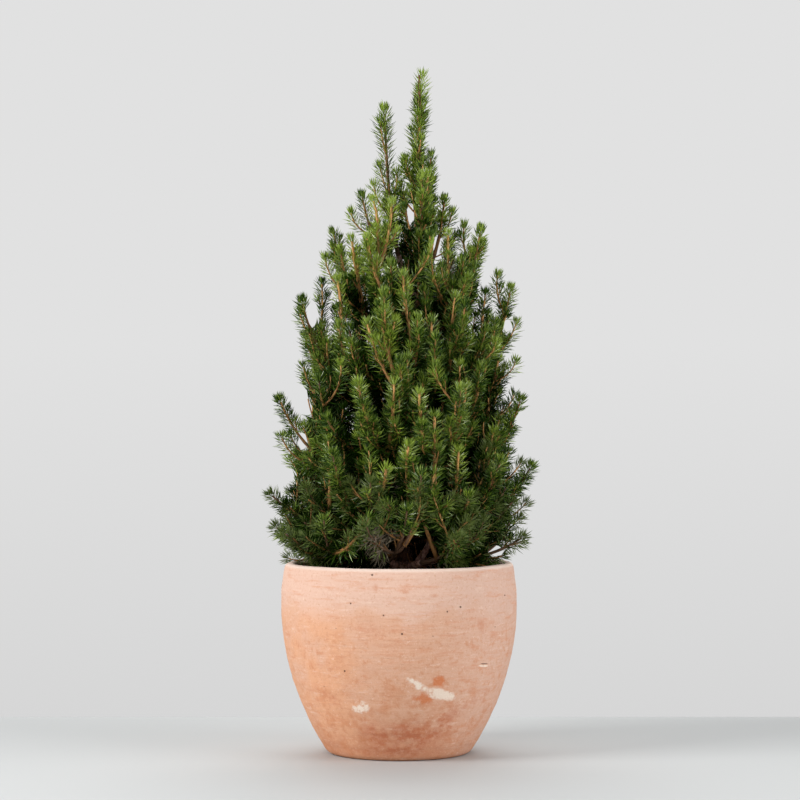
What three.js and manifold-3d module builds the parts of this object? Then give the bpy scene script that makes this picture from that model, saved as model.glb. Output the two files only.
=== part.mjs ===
// A dwarf Alberta spruce in a round-bellied terracotta pot.
//
// Frame: millimetres, +Z up, origin at the centre of the pot's flat underside. -Y is the front.
// The tree stands in the soil on a whole trunk that runs up through the foliage to its tip. The
// foliage is a set of masses in rings (tiers) round the trunk. Each mass is the union of a few
// fingers, because this spruce grows as crowded upright shoots, and each finger is a bent spindle.
import * as THREE from "three";
import { mergeVertices } from "three/addons/utils/BufferGeometryUtils.js";
import Module from "manifold-3d";

const wasm = await Module();
wasm.setup();

// ---- Driving dimensions ------------------------------------------------------------------

const GAP = 0.35; // air left between neighbouring solids
const DEGREE = Math.PI / 180;

const pot = {
  height: 193,
  bellyRadius: 120,
  bellyHeight: 152,
  footRadius: 75, // where the foot's rounded edge starts
  footEdge: 5, // radius of the rounded edge under the foot
  rimRadius: 116,
  wall: 11.5,
  floor: 12,
  lipEdge: 5, // radius of the lip's rounded edges
  sides: 30,
};

const soil = { edgeHeight: 170, clearance: 0.6 };

// The room that the foliage leaves for the pot and the soil.
const bed = { clearance: 3, sides: 16 };

const trunk = {
  foot: 173, // height of the flat cut at ground level
  top: 686,
  lean: 20.5, // how far the tip stands to the right of the foot
  leanUntil: 500, // the lean is used up at this height, and the leader above is upright
  sway: 5,
  footRadius: 10.5,
  tipRadius: 1.1,
  flare: 5,
  flareHeight: 11,
  sides: 8,
};

// The crown's outline is a dome: the radius at which a shoot tip of a given height stands.
const dome = { radius: 134, baseHeight: 250, rise: 345 };

// Each tier is a ring of masses. root is the height at which its limbs leave the trunk, tip the
// height of its shoot tips, and start the share of the limb that is bare wood before the foliage.
// outward and upward place the limb's bend. belly and shoot are the radii of a finger's fat part and
// of its end. A mass has a main finger and one more for each entry of drop, which says how much
// lower that one ends, at the angle spread to either side. rise and push, in mm, give each member
// its own height and reach. Members are counted anticlockwise from first, in degrees from +X, and
// bareUntil gives a member that shows more of its wood its own start.
const tiers = [
  {
    name: "skirt",
    first: -16,
    root: 188,
    tip: 234,
    start: 0.3,
    outward: 0.62,
    upward: 0.16,
    belly: 25,
    shoot: 9,
    spread: 20,
    drop: [-16],
    rise: [-10, 4, -2, 8, -3, -4, 6, -6],
    push: [1, -4, -4, 2, 4, 2, -8, -6],
  },
  {
    name: "lower",
    first: 10,
    root: 212,
    tip: 296,
    start: 0.08,
    outward: 0.74,
    upward: 0.22,
    belly: 29,
    shoot: 9,
    spread: 20,
    drop: [26, 34],
    rise: [-2, 8, -6, 10, -30, 14, -4, 6],
    push: [10, -4, 0, 0, 4, -12, -12, -6],
    bareUntil: new Map([[6, 0.4]]),
  },
  {
    name: "middle",
    first: -9,
    root: 262,
    tip: 372,
    start: 0.06,
    outward: 0.82,
    upward: 0.26,
    belly: 30,
    shoot: 9,
    spread: 20,
    drop: [-22, 36],
    rise: [-8, 8, 4, -6, -9, 8, 2],
    push: [2, 0, -2, -4, 5, -8, -4],
  },
  {
    name: "shoulder",
    first: 0,
    root: 330,
    tip: 462,
    start: 0.05,
    outward: 0.84,
    upward: 0.3,
    belly: 26.5,
    shoot: 9,
    spread: 21,
    drop: [24, 34],
    rise: [14, -4, 8, -2, 0, 6, -4],
    push: [8, -2, -4, 4, 9, -8, -6],
  },
  {
    name: "upper",
    first: -8,
    root: 402,
    tip: 532,
    start: 0.05,
    outward: 0.85,
    upward: 0.34,
    belly: 20,
    shoot: 8.5,
    spread: 26,
    drop: [20, 40],
    rise: [4, -6, 6, 2, -14, -8],
    push: [0, -4, -8, 2, -6, -4],
  },
  {
    name: "crest",
    first: 14,
    root: 470,
    tip: 574,
    start: 0.04,
    outward: 0.8,
    upward: 0.36,
    belly: 13,
    shoot: 8,
    spread: 40,
    drop: [18],
    rise: [-6, 0, -4, 14],
    push: [-13, -8, 8, -12],
  },
];

// Shoots that stand alone: the leader round the trunk's top, with a few short shoots at its foot,
// and a second leader beside it.
const leader = {
  foliageFoot: 530,
  top: 692,
  radius: 9,
  shoots: [
    { angle: 6, reach: 15, top: 612 },
    { angle: 190, reach: 20, top: 604 },
  ],
};
const secondLeader = { root: 452, foliageFoot: 0.34, tip: [-15, 6, 659], radius: 8.5 };

// A low bough at the front that turns up beside the trunk's foot. tip is where its axis would end.
const frontBough = { root: 176, tip: [42, -40, 246], outward: 0.75, upward: 0.2 };

// A mass whose foliage starts further out than shownFrom, as a share of its limb, gets a bare bough.
const bough = { rootRadius: 4.4, endRadius: 2.6, sides: 6, rings: 3, shownFrom: 0.2 };

// A finger's radius along its foliage, as shares of its length and of belly or shoot: thin at its
// root, fattest at the belly, then an even shoot with a rounded end.
const finger = { sides: 5, root: 0.28, bellyAt: 0.5, shootAt: 0.9, branchOff: 0.35 };

// ---- Solids ------------------------------------------------------------------------------

/** A closed three.js geometry as a manifold solid. */
function solidOf(geometry) {
  const bare = geometry.clone();
  bare.deleteAttribute("normal");
  bare.deleteAttribute("uv");
  const merged = mergeVertices(bare, 1e-3);
  const corners = merged.index.array;
  const faces = [];
  for (let i = 0; i < corners.length; i += 3) {
    const [a, b, c] = [corners[i], corners[i + 1], corners[i + 2]];
    if (a !== b && b !== c && c !== a) faces.push(a, b, c);
  }
  return new wasm.Manifold(
    new wasm.Mesh({
      numProp: 3,
      vertProperties: merged.attributes.position.array,
      triVerts: new Uint32Array(faces),
    }),
  );
}

/** A manifold solid as a named mesh. */
function meshOf(name, solid, material) {
  const { vertProperties, triVerts } = solid.getMesh();
  const geometry = new THREE.BufferGeometry()
    .setAttribute("position", new THREE.BufferAttribute(vertProperties, 3))
    .setIndex(new THREE.BufferAttribute(triVerts, 1))
    .toNonIndexed();
  geometry.computeVertexNormals();
  const mesh = new THREE.Mesh(geometry, material);
  mesh.name = name;
  return mesh;
}

/** The biggest of the separate pieces that cutting leaves. */
function largest(solid) {
  const pieces = solid.decompose();
  return pieces.reduce((most, piece) => (piece.volume() > most.volume() ? piece : most));
}

/** True if the boxes round two solids meet. */
function boxesMeet(a, b) {
  const [p, q] = [a.boundingBox(), b.boundingBox()];
  return [0, 1, 2].every((i) => p.min[i] <= q.max[i] && q.min[i] <= p.max[i]);
}

/** A solid less every one of the cutters that its box meets. */
function cutBy(solid, cutters) {
  return cutters.filter((c) => boxesMeet(solid, c)).reduce((rest, c) => rest.subtract(c), solid);
}

/**
 * A bent spindle: a lathed outline whose axis is carried along a plane curve. side is the
 * horizontal unit vector square to the curve's plane, radiusAt(t) the radius at a share t of the
 * curve, and unevenness(angle, t) a factor on it. Both ends close on the axis.
 */
function bentSpindle({ curve, side, radiusAt, shares, sides, unevenness = () => 1 }) {
  const outline = [
    new THREE.Vector2(0, shares[0]),
    ...shares.map((t) => new THREE.Vector2(radiusAt(t), t)),
    new THREE.Vector2(0, shares[shares.length - 1]),
  ];
  const geometry = new THREE.LatheGeometry(outline, sides);
  const position = geometry.attributes.position;
  for (let i = 0; i < position.count; i++) {
    const angle = Math.atan2(position.getX(i), position.getZ(i));
    const t = position.getY(i);
    const radius = Math.hypot(position.getX(i), position.getZ(i)) * unevenness(angle, t);
    const across = new THREE.Vector3().crossVectors(curve.getTangent(t), side);
    const point = curve
      .getPoint(t)
      .addScaledVector(side, radius * Math.cos(angle))
      .addScaledVector(across, radius * Math.sin(angle));
    position.setXYZ(i, point.x, point.y, point.z);
  }
  return solidOf(geometry);
}

// ---- Pot and soil ------------------------------------------------------------------------

/** The pot's outer radius at a height: a power curve up to the belly, then a gentle turn in. */
function potRadius(height) {
  const { bellyRadius, bellyHeight, footRadius, footEdge, rimRadius, lipEdge } = pot;
  if (height > bellyHeight) {
    const share = (height - bellyHeight) / (pot.height - lipEdge - bellyHeight);
    return bellyRadius - (bellyRadius - rimRadius) * share ** 2;
  }
  const share = (bellyHeight - height) / (bellyHeight - footEdge);
  return bellyRadius - (bellyRadius - footRadius) * share ** 2.05;
}

/** Points of a quarter circle round centre, from angle start to end in degrees. */
function arc(centre, radius, start, end, steps) {
  return Array.from({ length: steps + 1 }, (_, i) => {
    const angle = (start + ((end - start) * i) / steps) * DEGREE;
    return new THREE.Vector2(centre[0] + radius * Math.cos(angle), centre[1] + radius * Math.sin(angle));
  });
}

/** Heights spaced evenly between two heights, with both ends. */
function heights(from, to, steps) {
  return Array.from({ length: steps + 1 }, (_, i) => from + ((to - from) * i) / steps);
}

/** A solid of revolution about Z from an outline of (radius, height) points. */
function revolved(outline, sides) {
  const geometry = new THREE.LatheGeometry(outline, sides);
  geometry.rotateX(Math.PI / 2);
  return solidOf(geometry);
}

/** The pot's inside, moved in by clearance, as outline points from the floor up to the soil's edge. */
function insideWall(clearance) {
  const { footRadius, wall, floor } = pot;
  const bottom = floor + clearance;
  return [
    new THREE.Vector2(0, bottom),
    new THREE.Vector2(footRadius - wall - clearance, bottom),
    ...heights(floor + 14, soil.edgeHeight, 2).map(
      (z) => new THREE.Vector2(potRadius(z) - wall - clearance, z),
    ),
  ];
}

/** The pot: flat underside, rounded foot, bellied wall, rounded lip and an open inside. */
function potSolid() {
  const { footRadius, footEdge, wall, lipEdge, height } = pot;
  const shoulder = height - lipEdge;
  const outside = [
    new THREE.Vector2(0, 0),
    ...arc([footRadius - footEdge, footEdge], footEdge, -90, -20, 2),
    ...heights(footEdge + 12, pot.bellyHeight, 4).map((z) => new THREE.Vector2(potRadius(z), z)),
    new THREE.Vector2(potRadius((pot.bellyHeight + shoulder) / 2), (pot.bellyHeight + shoulder) / 2),
  ];
  const lip = [
    ...arc([pot.rimRadius - lipEdge, shoulder], lipEdge, 0, 90, 2),
    ...arc([pot.rimRadius - wall + lipEdge, shoulder], lipEdge, 90, 180, 2),
  ];
  return revolved([...outside, ...lip, ...insideWall(0).reverse()], pot.sides);
}

/** The potting soil: it fills the pot up to a low mound round the trunk. */
function soilSolid() {
  const outline = insideWall(soil.clearance);
  const edge = outline[outline.length - 1];
  const top = trunk.foot - GAP;
  return revolved([...outline, new THREE.Vector2(edge.x * 0.55, top), new THREE.Vector2(0, top)], pot.sides);
}

/** The space that the pot and its soil take from the foliage: plain-sided, and a little larger. */
function bedSolid() {
  const { height, rimRadius, wall, footRadius } = pot;
  const outer = rimRadius + bed.clearance;
  const inner = rimRadius - wall - bed.clearance;
  const outline = [
    [0, pot.floor],
    [footRadius, pot.floor],
    [outer, height / 2],
    [outer, height + GAP],
    [inner, height + GAP],
    [inner, trunk.foot + GAP],
    [0, trunk.foot + GAP],
  ].map(([radius, z]) => new THREE.Vector2(radius, z));
  return revolved(outline, bed.sides);
}

// ---- Wood --------------------------------------------------------------------------------

/** The trunk's middle at a height: it leans to the right, then rises straight. */
function trunkAt(height) {
  const lean = Math.min(1, (height - trunk.foot) / (trunk.leanUntil - trunk.foot));
  const share = (height - trunk.foot) / (trunk.top - trunk.foot);
  return new THREE.Vector3(
    trunk.lean * Math.sin((lean * Math.PI) / 2),
    trunk.sway * Math.sin(share * Math.PI * 1.5),
    height,
  );
}

/** The trunk's radius at a height: a taper, with the root flare at the foot. */
function trunkRadius(height) {
  const share = (height - trunk.foot) / (trunk.top - trunk.foot);
  const taper = trunk.tipRadius + (trunk.footRadius - trunk.tipRadius) * (1 - share) ** 0.95;
  return taper + trunk.flare * Math.exp(-(height - trunk.foot) / trunk.flareHeight);
}

/** The trunk, grown outwards by grow, from its flat cut to its tip. */
function trunkSolid(grow = 0) {
  const levels = [0, 0.02, 0.06, 0.16, 0.3, 0.45, 0.6, 0.8, 1];
  const outline = levels.map((share) => {
    const height = trunk.foot + (trunk.top - trunk.foot) * share;
    return new THREE.Vector2(trunkRadius(height) + grow, height + (share === 1 ? grow : 0));
  });
  const ends = [new THREE.Vector2(0, outline[0].y), new THREE.Vector2(0, outline[levels.length - 1].y)];
  const geometry = new THREE.LatheGeometry([ends[0], ...outline, ends[1]], trunk.sides);
  geometry.rotateX(Math.PI / 2);
  const position = geometry.attributes.position;
  for (let i = 0; i < position.count; i++) {
    const middle = trunkAt(Math.min(position.getZ(i), trunk.top));
    position.setXYZ(i, position.getX(i) + middle.x, position.getY(i) + middle.y, position.getZ(i));
  }
  return solidOf(geometry);
}

/** The axis of a limb: it leaves the trunk at root, runs outwards and turns up to its tip. */
function limbCurve(root, tip, outward, upward) {
  const from = trunkAt(root);
  const bend = new THREE.Vector3(
    from.x + (tip.x - from.x) * outward,
    from.y + (tip.y - from.y) * outward,
    root + (tip.z - root) * upward,
  );
  return new THREE.QuadraticBezierCurve3(from, bend, tip);
}

/** The horizontal unit vector square to the upright plane that a limb's curve lies in. */
function sideOf(curve) {
  const run = new THREE.Vector3().subVectors(curve.v2, curve.v0);
  return new THREE.Vector3(run.y, -run.x, 0).normalize();
}

/** A bare bough along the first part of a curve, up to the share until, grown by grow. */
function boughSolid(curve, until, grow = 0) {
  const { rootRadius, endRadius, rings, sides } = bough;
  return bentSpindle({
    curve,
    side: sideOf(curve),
    radiusAt: (t) => rootRadius + ((endRadius - rootRadius) * t) / until + grow,
    shares: Array.from({ length: rings }, (_, i) => (until * i) / (rings - 1)),
    sides,
  });
}

// ---- Foliage -----------------------------------------------------------------------------

/** The dome's radius at a height. */
function domeRadius(height) {
  const share = Math.max(0, (height - dome.baseHeight) / dome.rise);
  return dome.radius * Math.sqrt(Math.max(0, 1 - share ** 2));
}

/**
 * One finger of foliage, grown outwards by grow, along the part of a curve from the share start.
 * seed turns its bumps.
 */
function fingerSolid({ curve, start, belly, shoot, seed }, grow = 0) {
  const { root, bellyAt, shootAt, sides } = finger;
  const along = (u) => start + (1 - start) * u;
  const radii = new Map([
    [Math.max(0, start - grow / curve.getLength()), belly * root],
    [along(bellyAt), belly],
    [along(shootAt), shoot],
    [1, 0],
  ]);
  return bentSpindle({
    curve,
    side: sideOf(curve),
    radiusAt: (t) => radii.get(t) + grow,
    shares: [...radii.keys()],
    sides,
    unevenness: (angle, t) => 1 + 0.13 * Math.sin(3 * angle + seed + 9 * t),
  });
}

/** A point at an angle in degrees, reach and height, counted from the trunk's middle there. */
function pointAt(angle, reach, height) {
  const middle = trunkAt(Math.min(height, trunk.top));
  const share = Math.max(0, 1 - reach / dome.radius); // the outer tips are set round the pot's axis
  return new THREE.Vector3(
    middle.x * share + reach * Math.cos(angle * DEGREE),
    middle.y * share + reach * Math.sin(angle * DEGREE),
    height,
  );
}

/** The fingers of one mass of a tier: the main one, and a side finger for each entry of drop. */
function fingersOf(tier, member) {
  const step = 360 / tier.rise.length;
  const angle = tier.first + step * member;
  const height = tier.tip + tier.rise[member];
  const reach = domeRadius(tier.tip) + tier.push[member];
  const shoots = [{ angle, height, reach, size: 1 }];
  tier.drop.forEach((drop, i) => {
    const turn = i % 2 ? -1 : 1;
    const lower = height - drop;
    shoots.push({
      angle: angle + turn * tier.spread,
      height: lower,
      reach: domeRadius(lower) * (i % 2 ? 0.9 : 0.86),
      size: 0.8,
    });
  });
  const start = tier.bareUntil?.get(member) ?? tier.start;
  return shoots.map((shoot, i) => ({
    curve: limbCurve(tier.root, pointAt(shoot.angle, shoot.reach, shoot.height), tier.outward, tier.upward),
    start: i ? Math.max(start, finger.branchOff) : start,
    belly: tier.belly * shoot.size,
    shoot: tier.shoot * (i ? 0.92 : 1),
    seed: member * 2.1 + i * 1.3,
  }));
}

/** Several fingers joined into one solid, grown outwards by grow. */
function joined(fingers, grow = 0) {
  return fingers.map((finger) => fingerSolid(finger, grow)).reduce((all, one) => all.add(one));
}

/** Every mass as { name, fingers }, from the top of the tree down. */
function massPlan() {
  const leaderCurve = new THREE.QuadraticBezierCurve3(
    trunkAt(leader.foliageFoot),
    trunkAt((leader.foliageFoot + leader.top) / 2),
    trunkAt(trunk.top).setZ(leader.top),
  );
  const second = limbCurve(secondLeader.root, new THREE.Vector3(...secondLeader.tip), 1, 0.3);
  const plan = [
    {
      name: "leader_foliage",
      fingers: [
        { curve: leaderCurve, start: 0, belly: leader.radius + 1, shoot: leader.radius, seed: 1 },
        ...leader.shoots.map(({ angle, reach, top }, i) => ({
          curve: limbCurve(leader.foliageFoot - 8, pointAt(angle, reach, top), 0.9, 0.3),
          start: 0.1,
          belly: leader.radius - 1,
          shoot: leader.radius - 1,
          seed: i,
        })),
      ],
    },
    {
      name: "second_leader_foliage",
      fingers: [
        {
          curve: second,
          start: secondLeader.foliageFoot,
          belly: secondLeader.radius,
          shoot: secondLeader.radius,
          seed: 2,
        },
      ],
    },
  ];
  [...tiers].reverse().forEach((tier) =>
    tier.rise.forEach((_, member) =>
      plan.push({
        name: `${tier.name}_foliage_${member + 1}`,
        fingers: fingersOf(tier, member),
      }),
    ),
  );
  return plan;
}

// ---- Assembly ----------------------------------------------------------------------------

const materials = {
  terracotta: new THREE.MeshStandardMaterial({ color: "#d9a98a", roughness: 0.9, metalness: 0 }),
  soil: new THREE.MeshStandardMaterial({ color: "#2b2019", roughness: 1, metalness: 0 }),
  bark: new THREE.MeshStandardMaterial({ color: "#6b5040", roughness: 0.85, metalness: 0 }),
  needles: new THREE.MeshStandardMaterial({ color: "#3a5a2a", roughness: 0.7, metalness: 0 }),
};

const spruce = new THREE.Group();
const potBody = potSolid();
const soilBody = soilSolid();
spruce.add(meshOf("pot", potBody, materials.terracotta));
spruce.add(meshOf("soil", soilBody, materials.soil));
spruce.add(meshOf("trunk", trunkSolid(), materials.bark));

const cutters = [trunkSolid(GAP), bedSolid()];
for (const { name, fingers } of massPlan()) {
  const { curve, start } = fingers[0];
  if (start > bough.shownFrom) {
    const until = start - (1.5 * GAP) / curve.getLength();
    const wood = largest(cutBy(boughSolid(curve, until), cutters));
    spruce.add(meshOf(name.replace("foliage", "bough"), wood, materials.bark));
    cutters.push(boughSolid(curve, until, GAP));
  }
  spruce.add(meshOf(name, largest(cutBy(joined(fingers), cutters)), materials.needles));
  cutters.push(joined(fingers, GAP));
}

const { root, tip, outward, upward } = frontBough;
const lowBough = boughSolid(limbCurve(root, new THREE.Vector3(...tip), outward, upward), 1);
spruce.add(meshOf("front_bough", largest(cutBy(lowBough, cutters)), materials.bark));

export default spruce;
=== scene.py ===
"""A dwarf spruce in a round-bellied terracotta pot: its finish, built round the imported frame.

The frame gives every place. Shapes are worked out in millimetres as whole numpy arrays, and turned
to metres when they become a mesh. The tree grows by a seeded rule. Limbs run from the trunk to the
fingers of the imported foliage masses, crown shoots leave them for tips spread over the masses, side
shoots leave both, and needles stand round every shoot.
"""

import logging
import math
from dataclasses import dataclass, fields
from enum import Enum, IntEnum

import bpy
import numpy as np
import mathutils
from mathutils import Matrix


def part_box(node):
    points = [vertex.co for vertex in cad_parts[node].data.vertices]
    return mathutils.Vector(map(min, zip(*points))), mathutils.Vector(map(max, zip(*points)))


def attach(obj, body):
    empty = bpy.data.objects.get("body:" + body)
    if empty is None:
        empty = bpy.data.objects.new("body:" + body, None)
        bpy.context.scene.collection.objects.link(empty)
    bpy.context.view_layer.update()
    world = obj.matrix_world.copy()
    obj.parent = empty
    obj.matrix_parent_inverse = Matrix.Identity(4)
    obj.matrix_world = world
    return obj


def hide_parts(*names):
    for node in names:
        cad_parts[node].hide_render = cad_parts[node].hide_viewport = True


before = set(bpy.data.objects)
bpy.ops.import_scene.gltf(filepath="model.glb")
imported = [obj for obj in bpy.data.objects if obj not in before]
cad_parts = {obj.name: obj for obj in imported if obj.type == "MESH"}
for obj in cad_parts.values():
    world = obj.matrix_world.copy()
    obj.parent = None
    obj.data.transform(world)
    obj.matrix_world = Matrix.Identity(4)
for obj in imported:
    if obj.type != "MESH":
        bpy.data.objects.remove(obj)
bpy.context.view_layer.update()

LOG = logging.getLogger("spruce")
SEED = 20

MM = 0.001  # one millimetre in metres
UP = np.array([0.0, 0.0, 1.0])
TURN = 2 * math.pi
GOLDEN_ANGLE = math.radians(137.508)
PIECE_TRIANGLES = 190_000  # the most that one joined piece may hold

EYE = (1.0, -2700.0, 357.0)  # where the plant is looked at from, mm
SPINDLE = np.array([[0, 2, 1], [3, 1, 2], [0, 1, 3], [0, 3, 2]])  # a needle's faces over its points

Array = np.ndarray
Colour = tuple[float, float, float, float]
Vector = tuple[float, float, float]
Shape = tuple[Array, list[Array]]  # points and faces
Material = bpy.types.Material
Node = bpy.types.Node
Random = np.random.Generator


# ---- Numbers and meshes ------------------------------------------------------------------


@dataclass(frozen=True)
class Curve:
    """A value that runs straight between given places, and stays level outside them."""

    places: tuple[float, ...]
    values: tuple[float, ...]

    def __call__(self, place: Array) -> Array:
        """The value at each place."""
        return np.interp(place, self.places, self.values)


def unit(vectors: Array) -> Array:
    """Vectors along the last axis, each divided by its length."""
    return vectors / np.maximum(np.linalg.norm(vectors, axis=-1, keepdims=True), 1e-9)


def spokes(ahead: Array, turn: Array) -> Array:
    """Directions (n, 3) square to the directions ahead, each at its angle turn round them."""
    across = unit(np.cross(ahead, UP + 0.01))
    return across * np.cos(turn)[:, None] + np.cross(across, ahead) * np.sin(turn)[:, None]


def ease(values: Array, low: float, high: float) -> Array:
    """A smooth step from 0 at low to 1 at high: 3s^2 - 2s^3 of the share s between them."""
    share = np.clip((values - low) / (high - low), 0, 1)
    return share * share * (3 - 2 * share)


def lattice_noise(points: Array, seed: int) -> Array:
    """Smooth noise from -1 to 1, one lattice cell for each unit of the points.

    Each whole-numbered corner has a hashed value, and a point takes the mean of its eight
    corners with eased weights.

    Args:
        points: coordinates, with three along the last axis.
        seed: picks one of many noises.

    Returns:
        One value for each point.
    """
    cell = np.floor(points).astype(np.int64)
    share = ease(points - cell, 0, 1)
    total = np.zeros(points.shape[:-1])
    for corner in np.ndindex(2, 2, 2):
        x, y, z = (cell[..., i] + corner[i] for i in range(3))
        mixed = (x * 73856093) ^ (y * 19349663) ^ (z * 83492791) ^ (seed * 2654435761)
        mixed = (mixed ^ (mixed >> 13)) * 1274126177 & 0xFFFFFFFF
        value = ((mixed ^ (mixed >> 16)) & 0xFFFF) / 32767.5 - 1
        total += value * np.where(corner, share, 1 - share).prod(axis=-1)
    return total


def rough(points: Array, size: float, seed: int, octaves: int = 3) -> Array:
    """Fractal noise: octaves of lattice noise, each half the size and half the height of the last."""
    return sum(lattice_noise(points * 2**i / size, seed + i) / 2**i for i in range(octaves))


def circle(sides: int) -> Array:
    """The cosine and the sine (sides, 2) of evenly spaced angles."""
    angle = np.arange(sides) * TURN / sides
    return np.stack([np.cos(angle), np.sin(angle)], axis=-1)


def arc(centre: tuple[float, float], radius: float, start: float, end: float, steps: int) -> Array:
    """Points (r, z) of an arc round a centre, from start to end in degrees."""
    angle = np.radians(np.linspace(start, end, steps))
    return np.stack([centre[0] + radius * np.cos(angle), centre[1] + radius * np.sin(angle)], axis=1)


def skin(rings: Array, ends: Array) -> Shape:
    """Closed skins: quads from ring to ring, and triangles from the end rings to a point.

    Args:
        rings: (n, k, sides, 3), the points of k rings on each of n skins.
        ends: (n, 2, 3), the points that close each skin's first and last ring.

    Returns:
        The points, skin by skin, and the faces as an array of quads and one of triangles.
    """
    n, k, sides, _ = rings.shape
    size = k * sides + 2
    points = np.concatenate([rings.reshape(n, -1, 3), ends], axis=1).reshape(-1, 3)
    edge = np.arange(sides)
    after = (edge + 1) % sides
    row = (np.arange(k - 1) * sides)[:, None]
    quads = np.stack([row + edge, row + after, row + after + sides, row + edge + sides], axis=-1)
    top = size - 2 - sides
    foot = np.stack([np.full(sides, size - 2), after, edge], axis=1)
    head = np.stack([np.full(sides, size - 1), edge + top, after + top], axis=1)
    offset = (np.arange(n) * size)[:, None, None]
    faces = quads.reshape(-1, 4), np.concatenate([foot, head])
    return points, [(f + offset).reshape(-1, f.shape[1]) for f in faces]


def tubes(paths: Array, radii: Array, sides: int) -> Shape:
    """Closed tubes round many paths at once, each closed by the ends of its path.

    A ring stands square to the path at each of its points: centre + radius times (cos a, sin a) on
    two directions square to the path.

    Args:
        paths: (n, k, 3), the points of n paths.
        radii: (n, k, 1) the radius there, or (n, k, sides) for a relief.
        sides: points in a ring.

    Returns:
        The points and the faces, as skin gives them.
    """
    along = unit(np.gradient(paths, axis=1))
    chord = np.abs(paths[:, -1] - paths[:, 0])
    spare = np.eye(3)[np.argmin(chord, axis=1)][:, None]
    across = unit(np.cross(along, spare))
    other = np.cross(along, across)
    cosine, sine = circle(sides).T[..., None]
    spoke = across[:, :, None] * cosine + other[:, :, None] * sine
    return skin(paths[:, :, None] + spoke * radii[..., None], paths[:, [0, -1]])


def revolved(outline: Array, sides: int) -> Shape:
    """A closed surface of revolution about Z: (r cos a, r sin a, z) of each outline row.

    Args:
        outline: (k, 2) of radius and height, wound so that the solid lies to its left. The first
            and last rows lie on the axis and become single points.
        sides: points in a ring.

    Returns:
        The points, with the two poles last, and the faces, as skin gives them.
    """
    radius, height = outline[1:-1].T[..., None]
    cosine, sine = circle(sides).T
    rings = np.stack([radius * cosine, radius * sine, height + 0 * cosine], axis=-1)
    poles = np.array([[0, 0, outline[0, 1]], [0, 0, outline[-1, 1]]])
    return skin(rings[None], poles[None])


def mesh_object(
    name: str,
    points: Array,
    faces: list[Array],
    materials: list[Material],
    face_material: Array | None = None,
    smooth: bool = True,
) -> bpy.types.Object:
    """A mesh object at the origin.

    Args:
        name: the object's name.
        points: (n, 3) in millimetres.
        faces: index arrays, each of (m, 3) or (m, 4), wound so that they face outwards.
        materials: the object's material slots.
        face_material: the slot of each face, in the order of faces, or None for the first.
        smooth: whether the faces are shaded smooth.

    Returns:
        The new object, linked to the scene.
    """
    mesh = bpy.data.meshes.new(name)
    corners = np.concatenate([f.ravel() for f in faces]).astype(np.int32)
    sizes = np.concatenate([np.full(len(f), f.shape[1]) for f in faces]).astype(np.int32)
    mesh.vertices.add(len(points))
    mesh.vertices.foreach_set("co", (points * MM).astype(np.float32).ravel())
    mesh.loops.add(len(corners))
    mesh.loops.foreach_set("vertex_index", corners)
    mesh.polygons.add(len(sizes))
    mesh.polygons.foreach_set("loop_start", (np.cumsum(sizes) - sizes).astype(np.int32))
    mesh.polygons.foreach_set("loop_total", sizes)
    mesh.polygons.foreach_set("use_smooth", np.full(len(sizes), smooth))
    for material in materials:
        mesh.materials.append(material)
    if face_material is not None:
        mesh.polygons.foreach_set("material_index", face_material.astype(np.int32))
    mesh.update(calc_edges=True)
    return placed(name, mesh)


def placed(name: str, data: bpy.types.ID) -> bpy.types.Object:
    """Puts data in the scene.

    Args:
        name: the object's name.
        data: its mesh, light or camera.

    Returns:
        The new object.
    """
    made = bpy.data.objects.new(name, data)
    bpy.context.scene.collection.objects.link(made)
    return made


def spindles(
    name: str,
    points: Array,
    materials: list[Material],
    tint: Array,
    smooth: bool = False,
) -> bpy.types.Object:
    """Needles as one mesh object: each a spindle of four faces over four points.

    Args:
        name: the object's name.
        points: (n, 4, 3), each needle's foot, its middle's left and right edge as seen from the
            side to which it bulges, with its tip up, and its tip.
        materials: the object's material slots.
        tint: (n,), the slot of each needle.
        smooth: whether the faces are shaded smooth.

    Returns:
        The new object.
    """
    faces = SPINDLE + 4 * np.arange(len(points))[:, None, None]
    slots = np.repeat(tint, len(SPINDLE))
    return mesh_object(name, points.reshape(-1, 3), [faces.reshape(-1, 3)], materials, slots, smooth)


def finish_piece(piece: bpy.types.Object, nodes: tuple[str, ...] = ()) -> None:
    """Rides a piece on the plant's one body and reports it.

    Args:
        piece: the piece.
        nodes: the nodes that it stands for.
    """
    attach(piece, "root")
    if nodes:
        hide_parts(*nodes)
    LOG.info("%s: %d faces, stands for %d nodes", piece.name, len(piece.data.polygons), len(nodes))


def box_of(node: str) -> Array:
    """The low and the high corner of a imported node, in millimetres."""
    return np.array(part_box(node)) / MM


# ---- Finishes ----------------------------------------------------------------------------


def linear(hex_colour: str) -> Colour:
    """Turns an sRGB colour to linear.

    Args:
        hex_colour: such as "#c08050".

    Returns:
        Linear red, green and blue, and an alpha of 1.
    """
    parts = np.array([int(hex_colour[i : i + 2], 16) for i in (1, 3, 5)]) / 255
    low, high = parts / 12.92, ((parts + 0.055) / 1.055) ** 2.4
    return (*np.where(parts <= 0.04045, low, high).tolist(), 1.0)


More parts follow.
